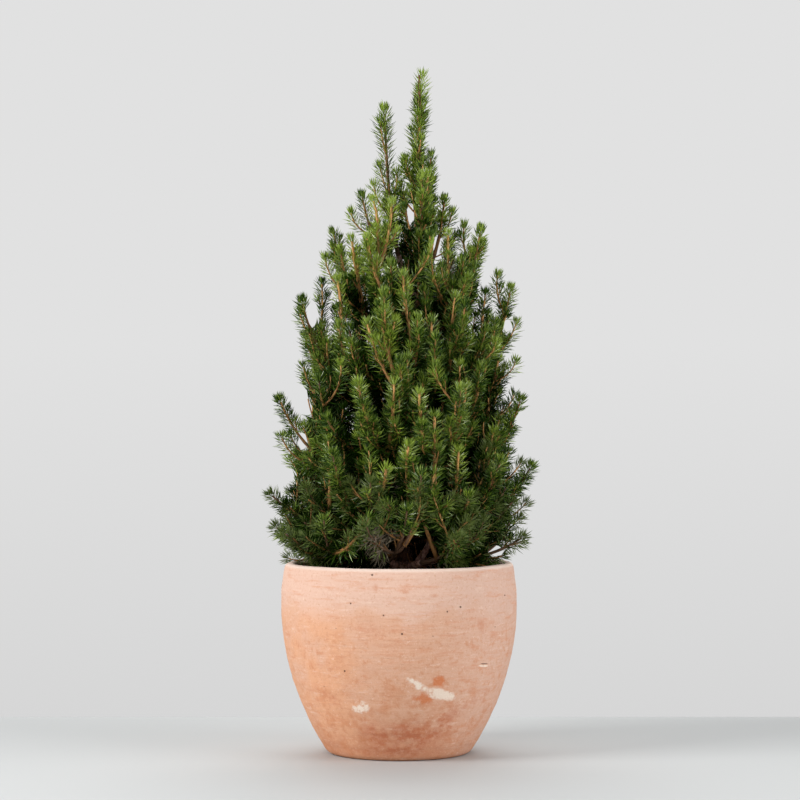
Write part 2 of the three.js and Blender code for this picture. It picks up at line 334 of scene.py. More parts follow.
class Graph:
    """The node tree of a material or the world, with the one helper that fills it."""

    def __init__(self, owner: Material | bpy.types.World) -> None:
        """Empties the owner's node tree.

        Args:
            owner: the material or the world.
        """
        owner.use_nodes = True
        self.tree = owner.node_tree
        self.tree.nodes.clear()

    def add(self, kind: str, *values: object, **named: object) -> Node:
        """Adds a node with its settings and links.

        Args:
            kind: the node's type, without "ShaderNode" before it.
            *values: what the inputs in use take, in their order: a number, a colour, a socket, a
                node, whose first output in use is linked, or None to leave the input alone.
            **named: settings in small letters, and inputs by their names with _ for a space.

        Returns:
            The node.
        """
        node = self.tree.nodes.new("ShaderNode" + kind)
        for name in filter(str.islower, named):
            setattr(node, name, named[name])
        given = list(zip([socket for socket in node.inputs if socket.enabled], values))
        given += [(node.inputs[n.replace("_", " ")], v) for n, v in named.items() if not n.islower()]
        for socket, value in given:
            if isinstance(value, Node):
                value = next(output for output in value.outputs if output.enabled)
            if isinstance(value, bpy.types.NodeSocket):
                self.tree.links.new(value, socket)
            elif value is not None:
                socket.default_value = value
        return node

    def share(self, *steps: tuple) -> Node:
        """The product of one or more smooth steps.

        Args:
            *steps: (value, low, high) of a step from 0 at low to 1 at high, or to a fourth number.

        Returns:
            The node that gives the product.
        """
        product = None
        for value, low, high, *top in steps:
            step = self.add("MapRange", value, low, high, 0.0, *top, interpolation_type="SMOOTHSTEP")
            product = self.add("Math", product, step, operation="MULTIPLY") if product else step
        return product


@dataclass(frozen=True)
class Finish:
    """A finish of one plain colour, as on the many small needles and twigs."""

    name: str
    colour: str
    roughness: float = 0.5
    specular: float = 0.4

    def material(self) -> Material:
        """Makes the material: a Principled shader with the finish's colour and relief.

        Returns:
            The material.
        """
        made = bpy.data.materials.new(self.name)
        graph = Graph(made)
        colour, normal = self.surface(graph)
        shine = {"Roughness": self.roughness, "Specular_IOR_Level": self.specular}
        graph.add("OutputMaterial", graph.add("BsdfPrincipled", colour, Normal=normal, **shine))
        return made

    def surface(self, graph: Graph) -> tuple[Colour | Node, Node | None]:
        """The colour and the normal."""
        return linear(self.colour), None


@dataclass(frozen=True)
class Grain:
    """A noise on a finish. Its size is that of its features in millimetres."""

    name: str
    size: float
    detail: float
    roughness: float = 0.55
    squeeze: Vector = (1, 1, 1)  # how many times finer it is along each axis


@dataclass(frozen=True)
class LayeredFinish(Finish):
    """A finish with noises, colours painted over each other, and relief.

    A layer is its colour and one or more steps. A step is the name of a noise or an axis, and the
    values between which the layer comes in, and perhaps its greatest share. Along an axis these
    values are places in mm. A relief is the name of a noise and its depth in mm.
    """

    grains: tuple[Grain, ...] = ()
    layers: tuple[tuple, ...] = ()
    reliefs: tuple[tuple[str, float], ...] = ()

    def more(self, graph: Graph, place: Node, sources: dict) -> tuple[list, list]:
        """Layers of (colour, share) over the others, and reliefs of (height, depth)."""
        return [], []

    def surface(self, graph: Graph) -> tuple[Colour | Node, Node | None]:
        """The colour, painted layer over layer, and the normal, raised relief by relief.

        Args:
            graph: the material's graph.

        Returns:
            The colour and the normal.
        """
        place = graph.add("Mapping", graph.add("TexCoord").outputs["Object"], Scale=(1 / MM,) * 3)
        split = graph.add("SeparateXYZ", place)
        sources = {axis: split.outputs[axis] for axis in "XYZ"}
        for grain in self.grains:
            drawn = graph.add("Mapping", place, Scale=grain.squeeze)
            noise = graph.add("TexNoise", drawn, 1 / grain.size, grain.detail, grain.roughness)
            sources[grain.name] = noise
        layers, reliefs = self.more(graph, place, sources)
        steps = [[(sources[name], *numbers) for name, *numbers in steps] for _, *steps in self.layers]
        painted = [(layer[0], graph.share(*s)) for layer, s in zip(self.layers, steps)]
        colour, normal = linear(self.colour), None
        for over, share in painted + layers:
            colour = graph.add("Mix", share, colour, linear(over), data_type="RGBA")
        for height, depth in [(sources[name], depth) for name, depth in self.reliefs] + reliefs:
            normal = graph.add("Bump", 1.0, depth * MM, Height=height, Normal=normal)
        return colour, normal


class Needle(Enum):
    """The needles' tints, the brightest first. They are lit and shaded copies of one green, painted light
    and painted shade; the brightest is also the colour of young growth. A spruce needle is waxy: a low
    sheen over green.
    """

    YOUNG = Finish("needle_young", "#90a739", 0.3, 0.65)
    SUNLIT = Finish("needle_sunlit", "#6e852a", 0.32, 0.6)
    LEAF = Finish("needle_leaf", "#3b5710", 0.4, 0.3)
    # Painted shade: the two darkest tints stand for the shade deep inside the crown.
    DEEP = Finish("needle_deep", "#203a04", 0.45, 0.1)
    SHADED = Finish("needle_shaded", "#0c1b00", 0.5, 0.04)
    OLIVE = Finish("needle_olive", "#5a6a2d", 0.4, 0.4)
    DRY = Finish("needle_dry", "#6e6453", 0.6, 0.2)


class Twig(Enum):
    """The twigs' tints: this year's shoots are orange-brown, older wood is brown, dead wood grey."""

    YOUNG = Finish("twig_young", "#cb965a", 0.5, 0.35)
    SECOND = Finish("twig_second_year", "#9b7042", 0.6, 0.25)
    WOOD = Finish("twig_wood", "#6e5440", 0.8, 0.2)
    DEAD = Finish("twig_dead", "#8b7d6e", 0.85, 0.2)


def slot_of(tint: Needle | Twig) -> int:
    """The material slot of a needle's or a twig's tint."""
    return list(type(tint)).index(tint)


class Tone(Enum):
    """What a mark on the clay shows: its colour, and how softly it fades out at its edge."""

    LIME = ("#f4e4d4", 0.4)  # a dry white scrape
    BARE = ("#cf7a4c", 0.5)  # fresh clay under a chipped skin
    DAMP = ("#c07250", 0.9)  # a damp, redder patch
    IRON = ("#c98766", 0.7)  # a faint rusty spot
    # A grit pore: its dark colour is painted shade in the hollow.
    HOLE = ("#4a2c22", 0.25)  # a grit pore


@dataclass(frozen=True)
class Mark:
    """A mark on the pot's front. Lengths are in millimetres, the tilt in degrees."""

    tone: Tone
    x: float
    z: float
    width: float
    height: float
    tilt: float = 0
    strength: float = 0.8


MARKS = {
    Tone.DAMP: [
        (16, 27, 104, 44, 6, 0.85),
        (48, 44, 56, 26, 42, 0.7),
        (-24, 30, 44, 30, -10, 0.7),
        (-4, 11, 150, 22, 0, 0.7),
        (-68, 64, 40, 18, -35, 0.35),
        (78, 62, 60, 20, 30, 0.3),
    ],
    Tone.BARE: [(38, 83, 20, 15, -25, 0.85), (23, 66, 26, 15, -10, 0.8)],
    Tone.IRON: [
        (82, 136, 15, 22, 10, 0.55),
        (5, 171, 17, 7, -8, 0.7),
        (-23, 174, 10, 14, 0, 0.5),
        (34, 167, 12, 6, 0, 0.5),
        (-28, 133, 60, 26, -20, 0.25),
    ],
    Tone.LIME: [
        (17, 80, 29, 11, -29, 0.9),
        (41, 69, 37, 14, -12, 0.85),
        (-37, 56, 22, 16, 20, 0.85),
        (83, 95, 13, 3, -8, 0.8),
    ],
    Tone.HOLE: [
        (-26, 187, 2.6, 2.6),
        (-47, 159, 2, 2),
        (-15, 148, 2, 2),
        (3, 130, 2.8, 2.8),
        (-53, 92, 2.2, 2.2),
        (60, 155, 2.4, 2.4),
        (47, 151, 2, 2),
        (105, 163, 2, 2),
        (84, 97, 9, 1.5, -5, 0.6),
    ],
}


@dataclass(frozen=True)
class Terracotta(LayeredFinish):
    """Unglazed earthenware: matte clay, redder near the foot, with wheel marks and a lime bloom."""

    name: str = "terracotta"
    colour: str = "#d09574"
    roughness: float = 0.88
    specular: float = 0.2
    marks: tuple[Mark, ...] = tuple(Mark(tone, *row) for tone, rows in MARKS.items() for row in rows)
    mark_front: float = -95.0  # the y of the marks, mm
    mark_depth: float = 90.0  # how far a mark reaches before and behind that, mm
    mark_spread: float = 1.6  # sizes in which a mark's ball fades out, as its ragged edge takes some
    mark_edge: float = 0.25  # what its ragged ball must reach to show
    pore_cell: float = 12.0  # the space in which one grit pore may lie, mm
    waver: float = 15.0  # how far the level wavers up and down in clouds, mm

    # The wheel draws some marks out sideways, so they are finer along Z.
    grains: tuple[Grain, ...] = (
        Grain("cloud", 45, 5),
        Grain("fleck", 7, 6, 0.65),
        Grain("wheel", 26, 7, 0.62, (1, 1, 6)),
        Grain("stain", 16, 6, 0.6),
        Grain("bloom", 24, 8, 0.68, (1, 1, 6)),
        Grain("dark grit", 2.4, 4, 0.8),
        Grain("pale grit", 3.1, 4, 0.8),
        Grain("ragged", 8, 7, 0.7),
        Grain("rings", 24, 5, 0.55, (1, 1, 14)),
        Grain("tooth", 1.1, 3),
    )
    layers: tuple[tuple, ...] = (
        ("#dbad92", ("level", 0, 70)),
        ("#dfbba8", ("level", 138, 158, 0.85)),
        # Lighter, warmer orange clouds low on the left, where the key light falls: weathered patches and
        # painted light.
        ("#e0a680", ("X", 30, -70), ("cloud", 0.35, 0.6, 0.75), ("Z", 165, 130)),
        # Painted shade colour: a paler, cooler pink over the right side, away from the key light.
        ("#d2ae9d", ("X", 20, 100, 0.6)),
        ("#d29271", ("wheel", 0.48, 0.7, 0.55)),
        ("#cd8961", ("fleck", 0.5, 0.72), ("Z", 165, 110, 0.65)),
        ("#cb8459", ("stain", 0.48, 0.66), ("Z", 150, 30, 0.5)),
        ("#efd9c8", ("bloom", 0.54, 0.78, 0.5)),
        ("#bd7a56", ("dark grit", 0.52, 0.7, 0.45)),
        ("#efd6c4", ("pale grit", 0.55, 0.72, 0.5)),
        # A paler band round the lip: lime wash there, and a painted highlight where the rim catches the
        # light.
        ("#f2dfd2", ("Z", 188.5, 191.5, 0.7)),
    )
    reliefs: tuple[tuple[str, float], ...] = (("rings", 0.3), ("tooth", 0.2))

    def more(self, graph: Graph, place: Node, sources: dict) -> tuple[list, list]:
        """Adds the wavering level, and gives the marks and the grit pores.

        Args:
            graph: the material's graph.
            place: Object coordinates in millimetres.
            sources: the noises and axes by name, to which it adds the level.

        Returns:
            The layers of (colour, share), and the relief of the pores and the marked holes.
        """
        smooth = {"interpolation_type": "SMOOTHSTEP"}
        shift = graph.add("MapRange", sources["cloud"], 0.3, 0.7, -self.waver, self.waver, **smooth)
        sources["level"] = graph.add("Math", sources["Z"], shift, operation="ADD")
        # Grit pores all round: dark dots of about 1 mm, in a few of the cells, their dark painted shade in
        # the hollows.
        pores = graph.add("TexVoronoi", place, 1 / self.pore_cell)
        chosen = graph.add("SeparateColor", pores.outputs["Color"])
        hollow = dots = graph.share((pores.outputs["Distance"], 0.06, 0.035), (chosen, 0.7, 0.75))
        ragged = graph.add("Math", sources["ragged"], 0.25, operation="SUBTRACT")
        ragged = graph.add("Math", ragged, 4.0, operation="MULTIPLY")
        layers = []
        for mark in self.marks:
            share = self.mark_share(graph, place, mark, ragged)
            layers.append((mark.tone.value[0], share))
            if mark.tone is Tone.HOLE:
                hollow = graph.add("Math", hollow, share, operation="MAXIMUM")
        layers.append(("#7a4a36", graph.add("Math", dots, 0.6, operation="MULTIPLY")))
        return layers, [(graph.add("Math", hollow, -1.0, operation="MULTIPLY"), 0.8)]

    def mark_share(self, graph: Graph, place: Node, mark: Mark, ragged: Node) -> Node:
        """A mark's share: 1 - the distance from its middle in half sizes, times a ragged noise.

        Args:
            graph: the material's graph.
            place: Object coordinates in millimetres.
            mark: the mark.
            ragged: the noise that breaks its edge. A hole's edge stays round.

        Returns:
            The node that gives the share.
        """
        half = (mark.width / self.mark_spread, self.mark_depth, mark.height / self.mark_spread)
        middle, turn = (mark.x, self.mark_front, mark.z), (0, math.radians(-mark.tilt), 0)
        within = graph.add("Mapping", place, middle, turn, half, vector_type="TEXTURE")
        ball = graph.add("TexGradient", within, gradient_type="SPHERICAL").outputs["Fac"]
        if mark.tone is not Tone.HOLE:
            ball = graph.add("Math", ball, ragged, operation="MULTIPLY")
        return graph.share((ball, self.mark_edge, self.mark_edge + mark.tone.value[1], mark.strength))


def bark(name: str, crack: str, scale: str) -> LayeredFinish:
    """Spruce bark: thin scales over redder cracks, greyer where they have weathered.

    Args:
        name: the finish's name.
        crack: the colour between the scales.
        scale: the scales' colour.

    Returns:
        The finish.
    """
    grains = Grain("scales", 3.2, 5, 0.6, (1, 1, 0.45)), Grain("grey", 9, 4), Grain("fibre", 0.9, 3)
    layers = (scale, ("scales", 0.38, 0.62)), ("#8d8075", ("grey", 0.5, 0.7, 0.6))
    return LayeredFinish(name, crack, 0.85, 0.2, grains, layers, (("scales", 0.7), ("fibre", 0.2)))


OLD_BARK = bark("spruce_bark", "#4a3226", "#8a6450")
# The boughs' bark: young bark, with its cracks and scales painted lighter as painted light on the front
# bough.
YOUNG_BARK_PAINTED_LIGHT = bark("young_spruce_bark", "#98685a", "#dfb5a2")

# Peat potting mix: dark crumbs with a few paler fibres.
PEAT = LayeredFinish(
    "peat",
    "#1d140e",
    roughness=0.95,
    specular=0.15,
    grains=(Grain("crumbs", 4, 8, 0.7), Grain("fibres", 5, 4, 0.6, (1, 6, 1))),
    layers=(("#4b3526", ("crumbs", 0.35, 0.65)), ("#7d6448", ("fibres", 0.66, 0.72, 0.7))),
    reliefs=(("crumbs", 2.0),),
)

# Satin paint, with painted shade that makes it a little darker towards the table's back.
TABLE_PAINT = LayeredFinish("painted_table", "#c2c4c4", 0.6, 0.15, layers=(("#b9bbbb", ("Y", -500, 250)),))


# ---- What the frame says -----------------------------------------------------------------


def node_mesh(node: str) -> tuple[Array, Array]:
    """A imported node's mesh in millimetres.

    Args:
        node: its name.

    Returns:
        The points (n, 3) with doubles merged, and the triangles (m, 3) as rows of them.
    """
    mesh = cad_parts[node].data
    place = np.empty(len(mesh.vertices) * 3, np.float32)
    mesh.vertices.foreach_get("co", place)
    mesh.calc_loop_triangles()
    corners = np.empty(len(mesh.loop_triangles) * 3, np.int32)
    mesh.loop_triangles.foreach_get("vertices", corners)
    points, merged = np.unique(np.round(place.reshape(-1, 3) / MM, 2), axis=0, return_inverse=True)
    return points.astype(float), merged.ravel()[corners].reshape(-1, 3)


class TrunkLine:
    """The trunk's middle and radius at any height, read from its packed rings."""

    def __init__(self) -> None:
        """Takes the mean and the spread of the trunk's points at each of its levels."""
        points, _ = node_mesh("trunk")
        level = np.round(points[:, 2], 1)
        self.heights = np.unique(level)
        rings = [points[level == height][:, :2] for height in self.heights]
        self.middles = np.array([ring.mean(axis=0) for ring in rings])
        spokes = [np.linalg.norm(r - m, axis=1) for r, m in zip(rings, self.middles)]
        self.radii = np.array([spoke.max() for spoke in spokes])

    def at(self, height: Array) -> Array:
        """The middle at each height, as points."""
        x, y = (np.interp(height, self.heights, self.middles[:, i]) for i in range(2))
        return np.stack([x, y, np.asarray(height, float)], axis=-1)

    def radius(self, height: Array) -> Array:
        """The radius at each height."""
        return np.interp(height, self.heights, self.radii)

    def off(self, points: Array) -> tuple[Array, Array]:
        """Each point's way from the line at its height, and how far that is."""
        way = points - self.at(points[:, 2])
        return way, np.linalg.norm(way[:, :2], axis=1)


def finger_tips(points: Array, triangles: Array, root: Array) -> Array:
    """The tips of a foliage mass's fingers.

    A tip is a point that lies further from the root than all of its neighbours, with its
    neighbours gathered to one side of it, in the outer half of the mass.

    Args:
        points: the mass's points.
        triangles: its triangles.
        root: the point where its limb leaves the trunk.

    Returns:
        The tips (n, 3), the furthest first.
    """
    least_gathered, least_neighbours = 0.45, 4
    pairs = np.concatenate([triangles[:, [i, (i + 1) % 3]] for i in range(3)])
    pairs = np.unique(np.concatenate([pairs, pairs[:, ::-1]]), axis=0)
    here, there = pairs.T
    far = np.linalg.norm(points - root, axis=1)
    furthest = np.zeros(len(points))
    np.maximum.at(furthest, here, far[there])
    gathered = np.zeros_like(points)
    np.add.at(gathered, here, unit(points[there] - points[here]))
    count = np.bincount(here, minlength=len(points))
    sharp = np.linalg.norm(gathered, axis=1) / np.maximum(count, 1) > least_gathered
    found = (far > furthest) & sharp & (count >= least_neighbours) & (far > far.max() / 2)
    return points[found][np.argsort(-far[found])]


# ---- Shoots ------------------------------------------------------------------------------


class Order(IntEnum):
    """What a shoot is."""

    LEADER = 0
    LIMB = 1
    SHOOT = 2  # a crown shoot, or a side shoot of a limb
    SMALL = 3
    DRY = 4


@dataclass
class Rows:
    """Arrays with one row for each of many things."""

    def where(self, rows: Array) -> "Rows":
        """The things at these rows, or where a mask is true."""
        return type(self)(*(getattr(self, f.name)[rows] for f in fields(self)))

    @classmethod
    def joined(cls, groups: list["Rows"]) -> "Rows":
        """Several groups as one."""
        return cls(*(np.concatenate([getattr(g, f.name) for g in groups]) for f in fields(cls)))


@dataclass
class Shoots(Rows):
    """Shoots, each on the quadratic curve of its start, bend and tip."""

    start: Array
    bend: Array
    tip: Array
    foot: Array  # stem radius at the start
    end: Array  # stem radius at the tip
    leafy: Array  # share of the curve at which its needles begin
    order: Array
    mass: Array  # the foliage mass that it belongs to, by number
    vigour: Array  # 0 for a weak shaded shoot up to 1 for a strong young one

    def __len__(self) -> int:
        """How many shoots there are."""
        return len(self.start)

    def at(self, share: Array) -> Array:
        """Points on each curve: (1-t)^2 start + 2t(1-t) bend + t^2 tip.

        Args:
            share: (n, k), how far along its curve each point lies.

        Returns:
            The points (n, k, 3).
        """
        t = share[..., None]
        start, bend, tip = (v[:, None] for v in (self.start, self.bend, self.tip))
        return (1 - t) ** 2 * start + 2 * t * (1 - t) * bend + t**2 * tip

    def heading(self, share: Array) -> Array:
        """The direction at shares (n, k) of each curve: (1-t)(bend-start) + t(tip-bend)."""
        t = share[..., None]
        return unit((1 - t) * (self.bend - self.start)[:, None] + t * (self.tip - self.bend)[:, None])

    def spread(self, low: float, high: float, count: int) -> Array:
        """Points (n, count, 3) spread evenly from share low to share high of each curve."""
        return self.at(np.tile(np.linspace(low, high, count), (len(self), 1)))

    def lengths(self) -> Array:
        """Each curve's length, over eight chords."""
        return np.linalg.norm(np.diff(self.spread(0, 1, 9), axis=1), axis=2).sum(axis=1)

    def ranks(self, count: Array) -> tuple[Array, Array]:
        """The shoot's row and the rank on it of each of count things on each shoot."""
        row = np.repeat(np.arange(len(self)), count)
        return row, np.arange(len(row)) - np.repeat(np.cumsum(count) - count, count)

    @classmethod
    def stems(cls, near: Array, half: Array, far: Array, mass: int, vigour: float) -> "Shoots":
        """Bare stems on which other shoots stand.

        Args:
            near: (n, 3), where each starts.
            half: (n, 3), a point half way along it.
            far: (n, 3), where it ends.
            mass: the number of their foliage mass.
            vigour: how strong they are.

        Returns:
            The stems.
        """
        flat = np.ones(len(near))
        whole = flat.astype(int)
        bend = 2 * half - (near + far) / 2
        foot, end = 5 * flat, 3 * flat
        order, owner = Order.LIMB * whole, mass * whole
        return cls(near, bend, far, foot, end, flat, order, owner, vigour * flat)


@dataclass(frozen=True)
class LimbRule:
    """How a limb runs from its parent to a tip. Lengths are in millimetres."""

    foot: float  # radius at the start
    end: float  # radius at the tip
    leafy: float  # the share at which its needles begin
    needle_room: float = 7.0  # how far needles reach past the end of a shoot
    lift: float = 30.0  # how far over its tip a limb aims
    # By how steep it is. Flat limbs run out first, steep ones sooner turn up.
    outward: Curve = Curve((0.3, 0.6, 0.9), (0.62, 0.74, 0.83))
    upward: Curve = Curve((0.3, 0.9, 1.8), (0.16, 0.26, 0.34))

    def grow(self, start: Array, tip: Array, mass: int) -> Shoots:
        """Grows a limb.

        Args:
            start: where it leaves its parent.
            tip: where its needles end.
            mass: the number of its mass.

        Returns:
            One shoot.
        """
        tip = tip - unit(tip - start + self.lift * UP) * self.needle_room
        run, rise = np.linalg.norm((tip - start)[:2]), tip[2] - start[2]
        slope = rise / max(run, 1)
        out = self.outward(slope)
        bend = start + (tip - start) * np.array([out, out, self.upward(slope)])
        row = (start, bend, tip, self.foot, self.end, self.leafy, int(Order.LIMB), mass, 0.6)
        return Shoots(*(np.array([value]) for value in row))


@dataclass(frozen=True)
class BranchRule:
    """How side shoots leave a shoot. Lengths are in millimetres and angles in degrees."""

    order: Order
    spacing: float
    bare: float  # share of the parent below its first side shoot
    clear: float  # length of the parent's end without side shoots
    angle: float  # from the parent
    reach: float  # a side shoot's length for each mm of its parent above it
    length: tuple[float, float]  # but never outside these
    radii: tuple[float, float]  # of its stem, at the start and at the tip
    unsteady: float = 7.0  # how much the angle varies
    hanging: float = 0.35  # by this share those that point down are shorter
    rise: Curve = Curve((190, 260, 360, 460), (0.1, 0.5, 1.1, 1.5))  # towards the sky, by height

    def grow(self, parents: Shoots, rng: Random) -> Shoots:
        """Grows side shoots by the golden angle round each parent.

        A side shoot leaves at the rule's angle, then turns towards the sky and its parent's heading.

        Args:
            parents: the shoots that they leave.
            rng: the source of its variation.

        Returns:
            The side shoots.
        """
        length = parents.lengths()
        count = (np.maximum(length * (1 - self.bare) - self.clear, 0) / self.spacing).astype(int)
        parent, rank = parents.ranks(count)
        flat = np.ones(len(rank))
        step = (rank + rng.uniform(0.1, 0.9, len(rank))) * self.spacing / length[parent]
        along = (self.bare + step)[:, None]
        turn = rank * GOLDEN_ANGLE + rng.uniform(0, TURN, len(parents))[parent]
        on = parents.where(parent)
        start, ahead = on.at(along)[:, 0], on.heading(along)[:, 0]
        tilt = np.radians(self.angle + rng.normal(0, self.unsteady, len(rank)))[:, None]
        away = ahead * np.cos(tilt) + spokes(ahead, turn) * np.sin(tilt)
        above = (1 - along[:, 0]) * length[parent]
        size = self.reach * above * rng.uniform(0.7, 1.15, len(rank))
        size = size * (1 - self.hanging * (away[:, 2] < 0))
        size = np.clip(size, *self.length)[:, None]
        final = unit(away + self.rise(start[:, 2])[:, None] * UP + 0.5 * ahead)
        bend = start + away * size * 0.45
        tip = bend + final * size * 0.6
        order = self.order * flat.astype(int)
        vigour = on.vigour * rng.uniform(0.6, 1, len(rank))
        foot, end = (radius * flat for radius in self.radii)
        return Shoots(start, bend, tip, foot, end, 0.06 * flat, order, on.mass, vigour)


def nearest(points: Array, others: Array) -> Array:
    """For each point, the nearest of the others."""
    square = (others**2).sum(axis=1) - 2 * points @ others.T
    return others[square.argmin(axis=1)]


def thinned(points: Array, spacing: Array) -> Array:
    """Picks points that keep their distance, the earlier ones first.

    In each pass a point stays if no earlier point left over is near it, and takes its neighbours out.

    Args:
        points: (n, 3).
        spacing: the distance that each keeps, in mm.

    Returns:
        The rows of the points that stay.
    """
    points, spacing = points.astype(np.float32), spacing.astype(np.float32)
    square = (points**2).sum(axis=1)
    apart = square[:, None] + square - 2 * points @ points.T
    near = apart < np.minimum(spacing[:, None], spacing) ** 2
    earlier = np.tri(len(points), k=-1, dtype=bool)
    left, kept = np.ones(len(points), bool), np.zeros(len(points), bool)
    while left.any():
        new = left & ~(near & earlier & left).any(axis=1)
        kept |= new
        left &= ~near[:, new].any(axis=1)
    return np.flatnonzero(kept)


@dataclass(frozen=True)
class Gap:
    """An opening through the crown, seen from the front, as an ellipse. Lengths are in mm."""

    x: float
    z: float
    half_width: float
    half_height: float
    behind: float = 1000.0  # the y up to which it reaches from the front

    def takes(self, points: Array) -> Array:
        """True for points within it, once drawn along the lines of sight to the plane y = 0.

        Args:
            points: (..., 3).

        Returns:
            True or false for each point.
        """
        x, y, z = EYE
        nearer = 1 - points[..., 1] / y
        across = (x + (points[..., 0] - x) / nearer - self.x) / self.half_width
        upward = (z + (points[..., 2] - z) / nearer - self.z) / self.half_height
        return (across**2 + upward**2 < 1) & (points[..., 1] < self.behind)


BOUGH_GAP = Gap(14, 200, 25, 18, -24)  # low in front, where the bough shows
SKY_GAPS = (
    Gap(-88, 445, 5, 13),
    Gap(-99, 358, 6, 14),
    Gap(-98, 315, 4, 9),
    Gap(-91, 347, 3, 7),
    Gap(-112, 282, 5, 6),
    Gap(98, 204, 7, 5),
    Gap(121, 375, 5, 6),
    Gap(124, 338, 4, 8),
    Gap(12, 546, 3, 11),
    Gap(4, 668, 5, 10),
    Gap(38, 509, 3, 14),
    Gap(-64, 536, 2, 6),
    Gap(110, 433, 3, 8),
)
GAPS = (BOUGH_GAP, *SKY_GAPS)


@dataclass(frozen=True)
class Room:
    """The space that shoots may take: over the soil, clear of the pot and inside the crown."""

    soil_height: float
    rim_height: float
    rim_inner: float
    rim_outer: float
    reach: Array  # the crown's radius round the trunk's line, by level and by direction
    line: TrunkLine
    over_rim: float = 6.0  # how far shoots keep from the rim
    over_soil: float = 5.0  # and from the soil

    @staticmethod
    def cells(off: Array, height: Array, shape: tuple[int, int]) -> tuple[Array, Array]:
        """The row and the column of points in a table of levels and directions.

        Args:
            off: each point's way from the trunk's line.
            height: its height.
            shape: how many levels and directions there are.

        Returns:
            The level and the direction of each point, as whole numbers.
        """
        lowest, tall = 190, 500
        level = np.clip((height - lowest) / (tall / shape[0]), 0, shape[0] - 1).astype(int)
        return level, (np.arctan2(off[:, 1], off[:, 0]) / TURN * shape[1]).astype(int) % shape[1]

    @classmethod
    def over(cls, pot: "Pot", line: TrunkLine, points: Array) -> "Room":
        """The room over a pot, with the crown's radius taken from the masses at each height.

        Args:
            pot: the pot.
            line: the trunk's line.
            points: the points of all foliage masses.

        Returns:
            The room.
        """
        levels, directions = 26, 24
        off, radius = line.off(points)
        reach = np.zeros((levels, directions))
        np.maximum.at(reach, cls.cells(off, points[:, 2], reach.shape), radius)
        for _ in range(2):  # fills gaps between directions and levels
            beside = (np.roll(reach, 1, axis=1) + np.roll(reach, -1, axis=1)) / 2
            near = (np.vstack([reach[1:], reach[-1:]]) + np.vstack([reach[:1], reach[:-1]])) / 2
            reach = np.maximum(reach, (beside + near) / 2)
        outer = pot.belly_radius - pot.belly_over_rim
        return cls(box_of("soil")[1, 2], pot.height, outer - pot.wall, outer, reach, line)

    def depth(self, points: Array) -> Array:
        """How far each point lies inside the crown's outline, in its own direction."""
        off, radius = self.line.off(points)
        return self.reach[self.cells(off, points[:, 2], self.reach.shape)] - radius

    def holds(self, points: Array, margin: float | Array) -> Array:
        """Which points a shoot may reach.

        Args:
            points: (n, 3).
            margin: how far past the crown's outline it may reach.

        Returns:
            True or false for each point.
        """
        radius = np.linalg.norm(points[:, :2], axis=1)
        at_rim = (radius > self.rim_inner - self.over_rim) & (radius < self.rim_outer + self.over_rim)
        floor = np.where(at_rim, self.rim_height + self.over_rim, self.soil_height + self.over_soil)
        return (points[:, 2] > floor) & (self.depth(points) > -margin)

    def clear(self, shoots: Shoots, gaps: tuple[Gap, ...] = GAPS) -> Array:
        """Which shoots keep out of the gaps, but for a short part of their length below the tip.

        Args:
            shoots: the shoots.
            gaps: the gaps.

        Returns:
            True or false for each shoot.
        """
        samples, allowed = 12, 2
        along = shoots.spread(0.15, 1, samples)
        taken = np.any([gap.takes(along) for gap in gaps], axis=0)
        return (taken.sum(axis=1) <= allowed) & ~taken[:, -1]


# ---- The crown ---------------------------------------------------------------------------

# Tips of shoots that stand out against the backdrop, as (x, z) in mm.
OUTLINE_TIPS = np.array(
    [
        (5, 604), (-3, 592), (37, 613), (-26, 580), (-39, 570), (-49, 551), (-57, 522), (-70, 532),
        (47, 567), (55, 553), (67, 538), (84, 534), (101, 488), (-80, 483), (-102, 460), (-90, 430),
        (115, 474), (120, 440), (119, 401), (129, 363), (-112, 342), (125, 298), (58, 528), (78, 447),
        (108, 395), (109, 356), (-84, 478), (-68, 484), (-98, 396), (133, 256), (126, 240), (134, 290),
        (119, 368), (10, 462), (-132, 265), (129, 222), (-118, 197), (14, 566), (20, 628), (-20, 600),
        (-75, 505), (-70, 478), (-66, 455), (-78, 440), (70, 520), (76, 495), (96, 455), (88, 470),
        (-28, 560), (-22, 540), (-45, 560), (1, 580), (-119, 325), (-113, 301), (-113, 266), (129, 250),
        (113, 310),
    ],
    float,
)  # fmt: skip

# Tips of the strong young shoots on the crown's front, as (x, z) in mm.
FRONT_TIPS = np.array(
    [
        (29, 588), (-7, 559), (-27, 562), (-62, 482), (-32, 524), (-48, 522), (49, 528), (74, 512),
        (61, 500), (4, 486), (56, 465), (-18, 455), (-32, 438), (-3, 440), (33, 440), (8, 403),
        (60, 397), (66, 375), (-5, 379), (20, 369), (102, 403), (35, 347), (-70, 323), (95, 331),
        (10, 317), (59, 312), (-12, 295), (36, 291), (13, 274), (62, 249), (-26, 247),
    ],
    float,
)  # fmt: skip


@dataclass
class Tips(Rows):
    """Where crown shoots end."""

    place: Array
    outward: Array  # the direction away from the trunk's line
    mass: Array  # by number
    vigour: Array


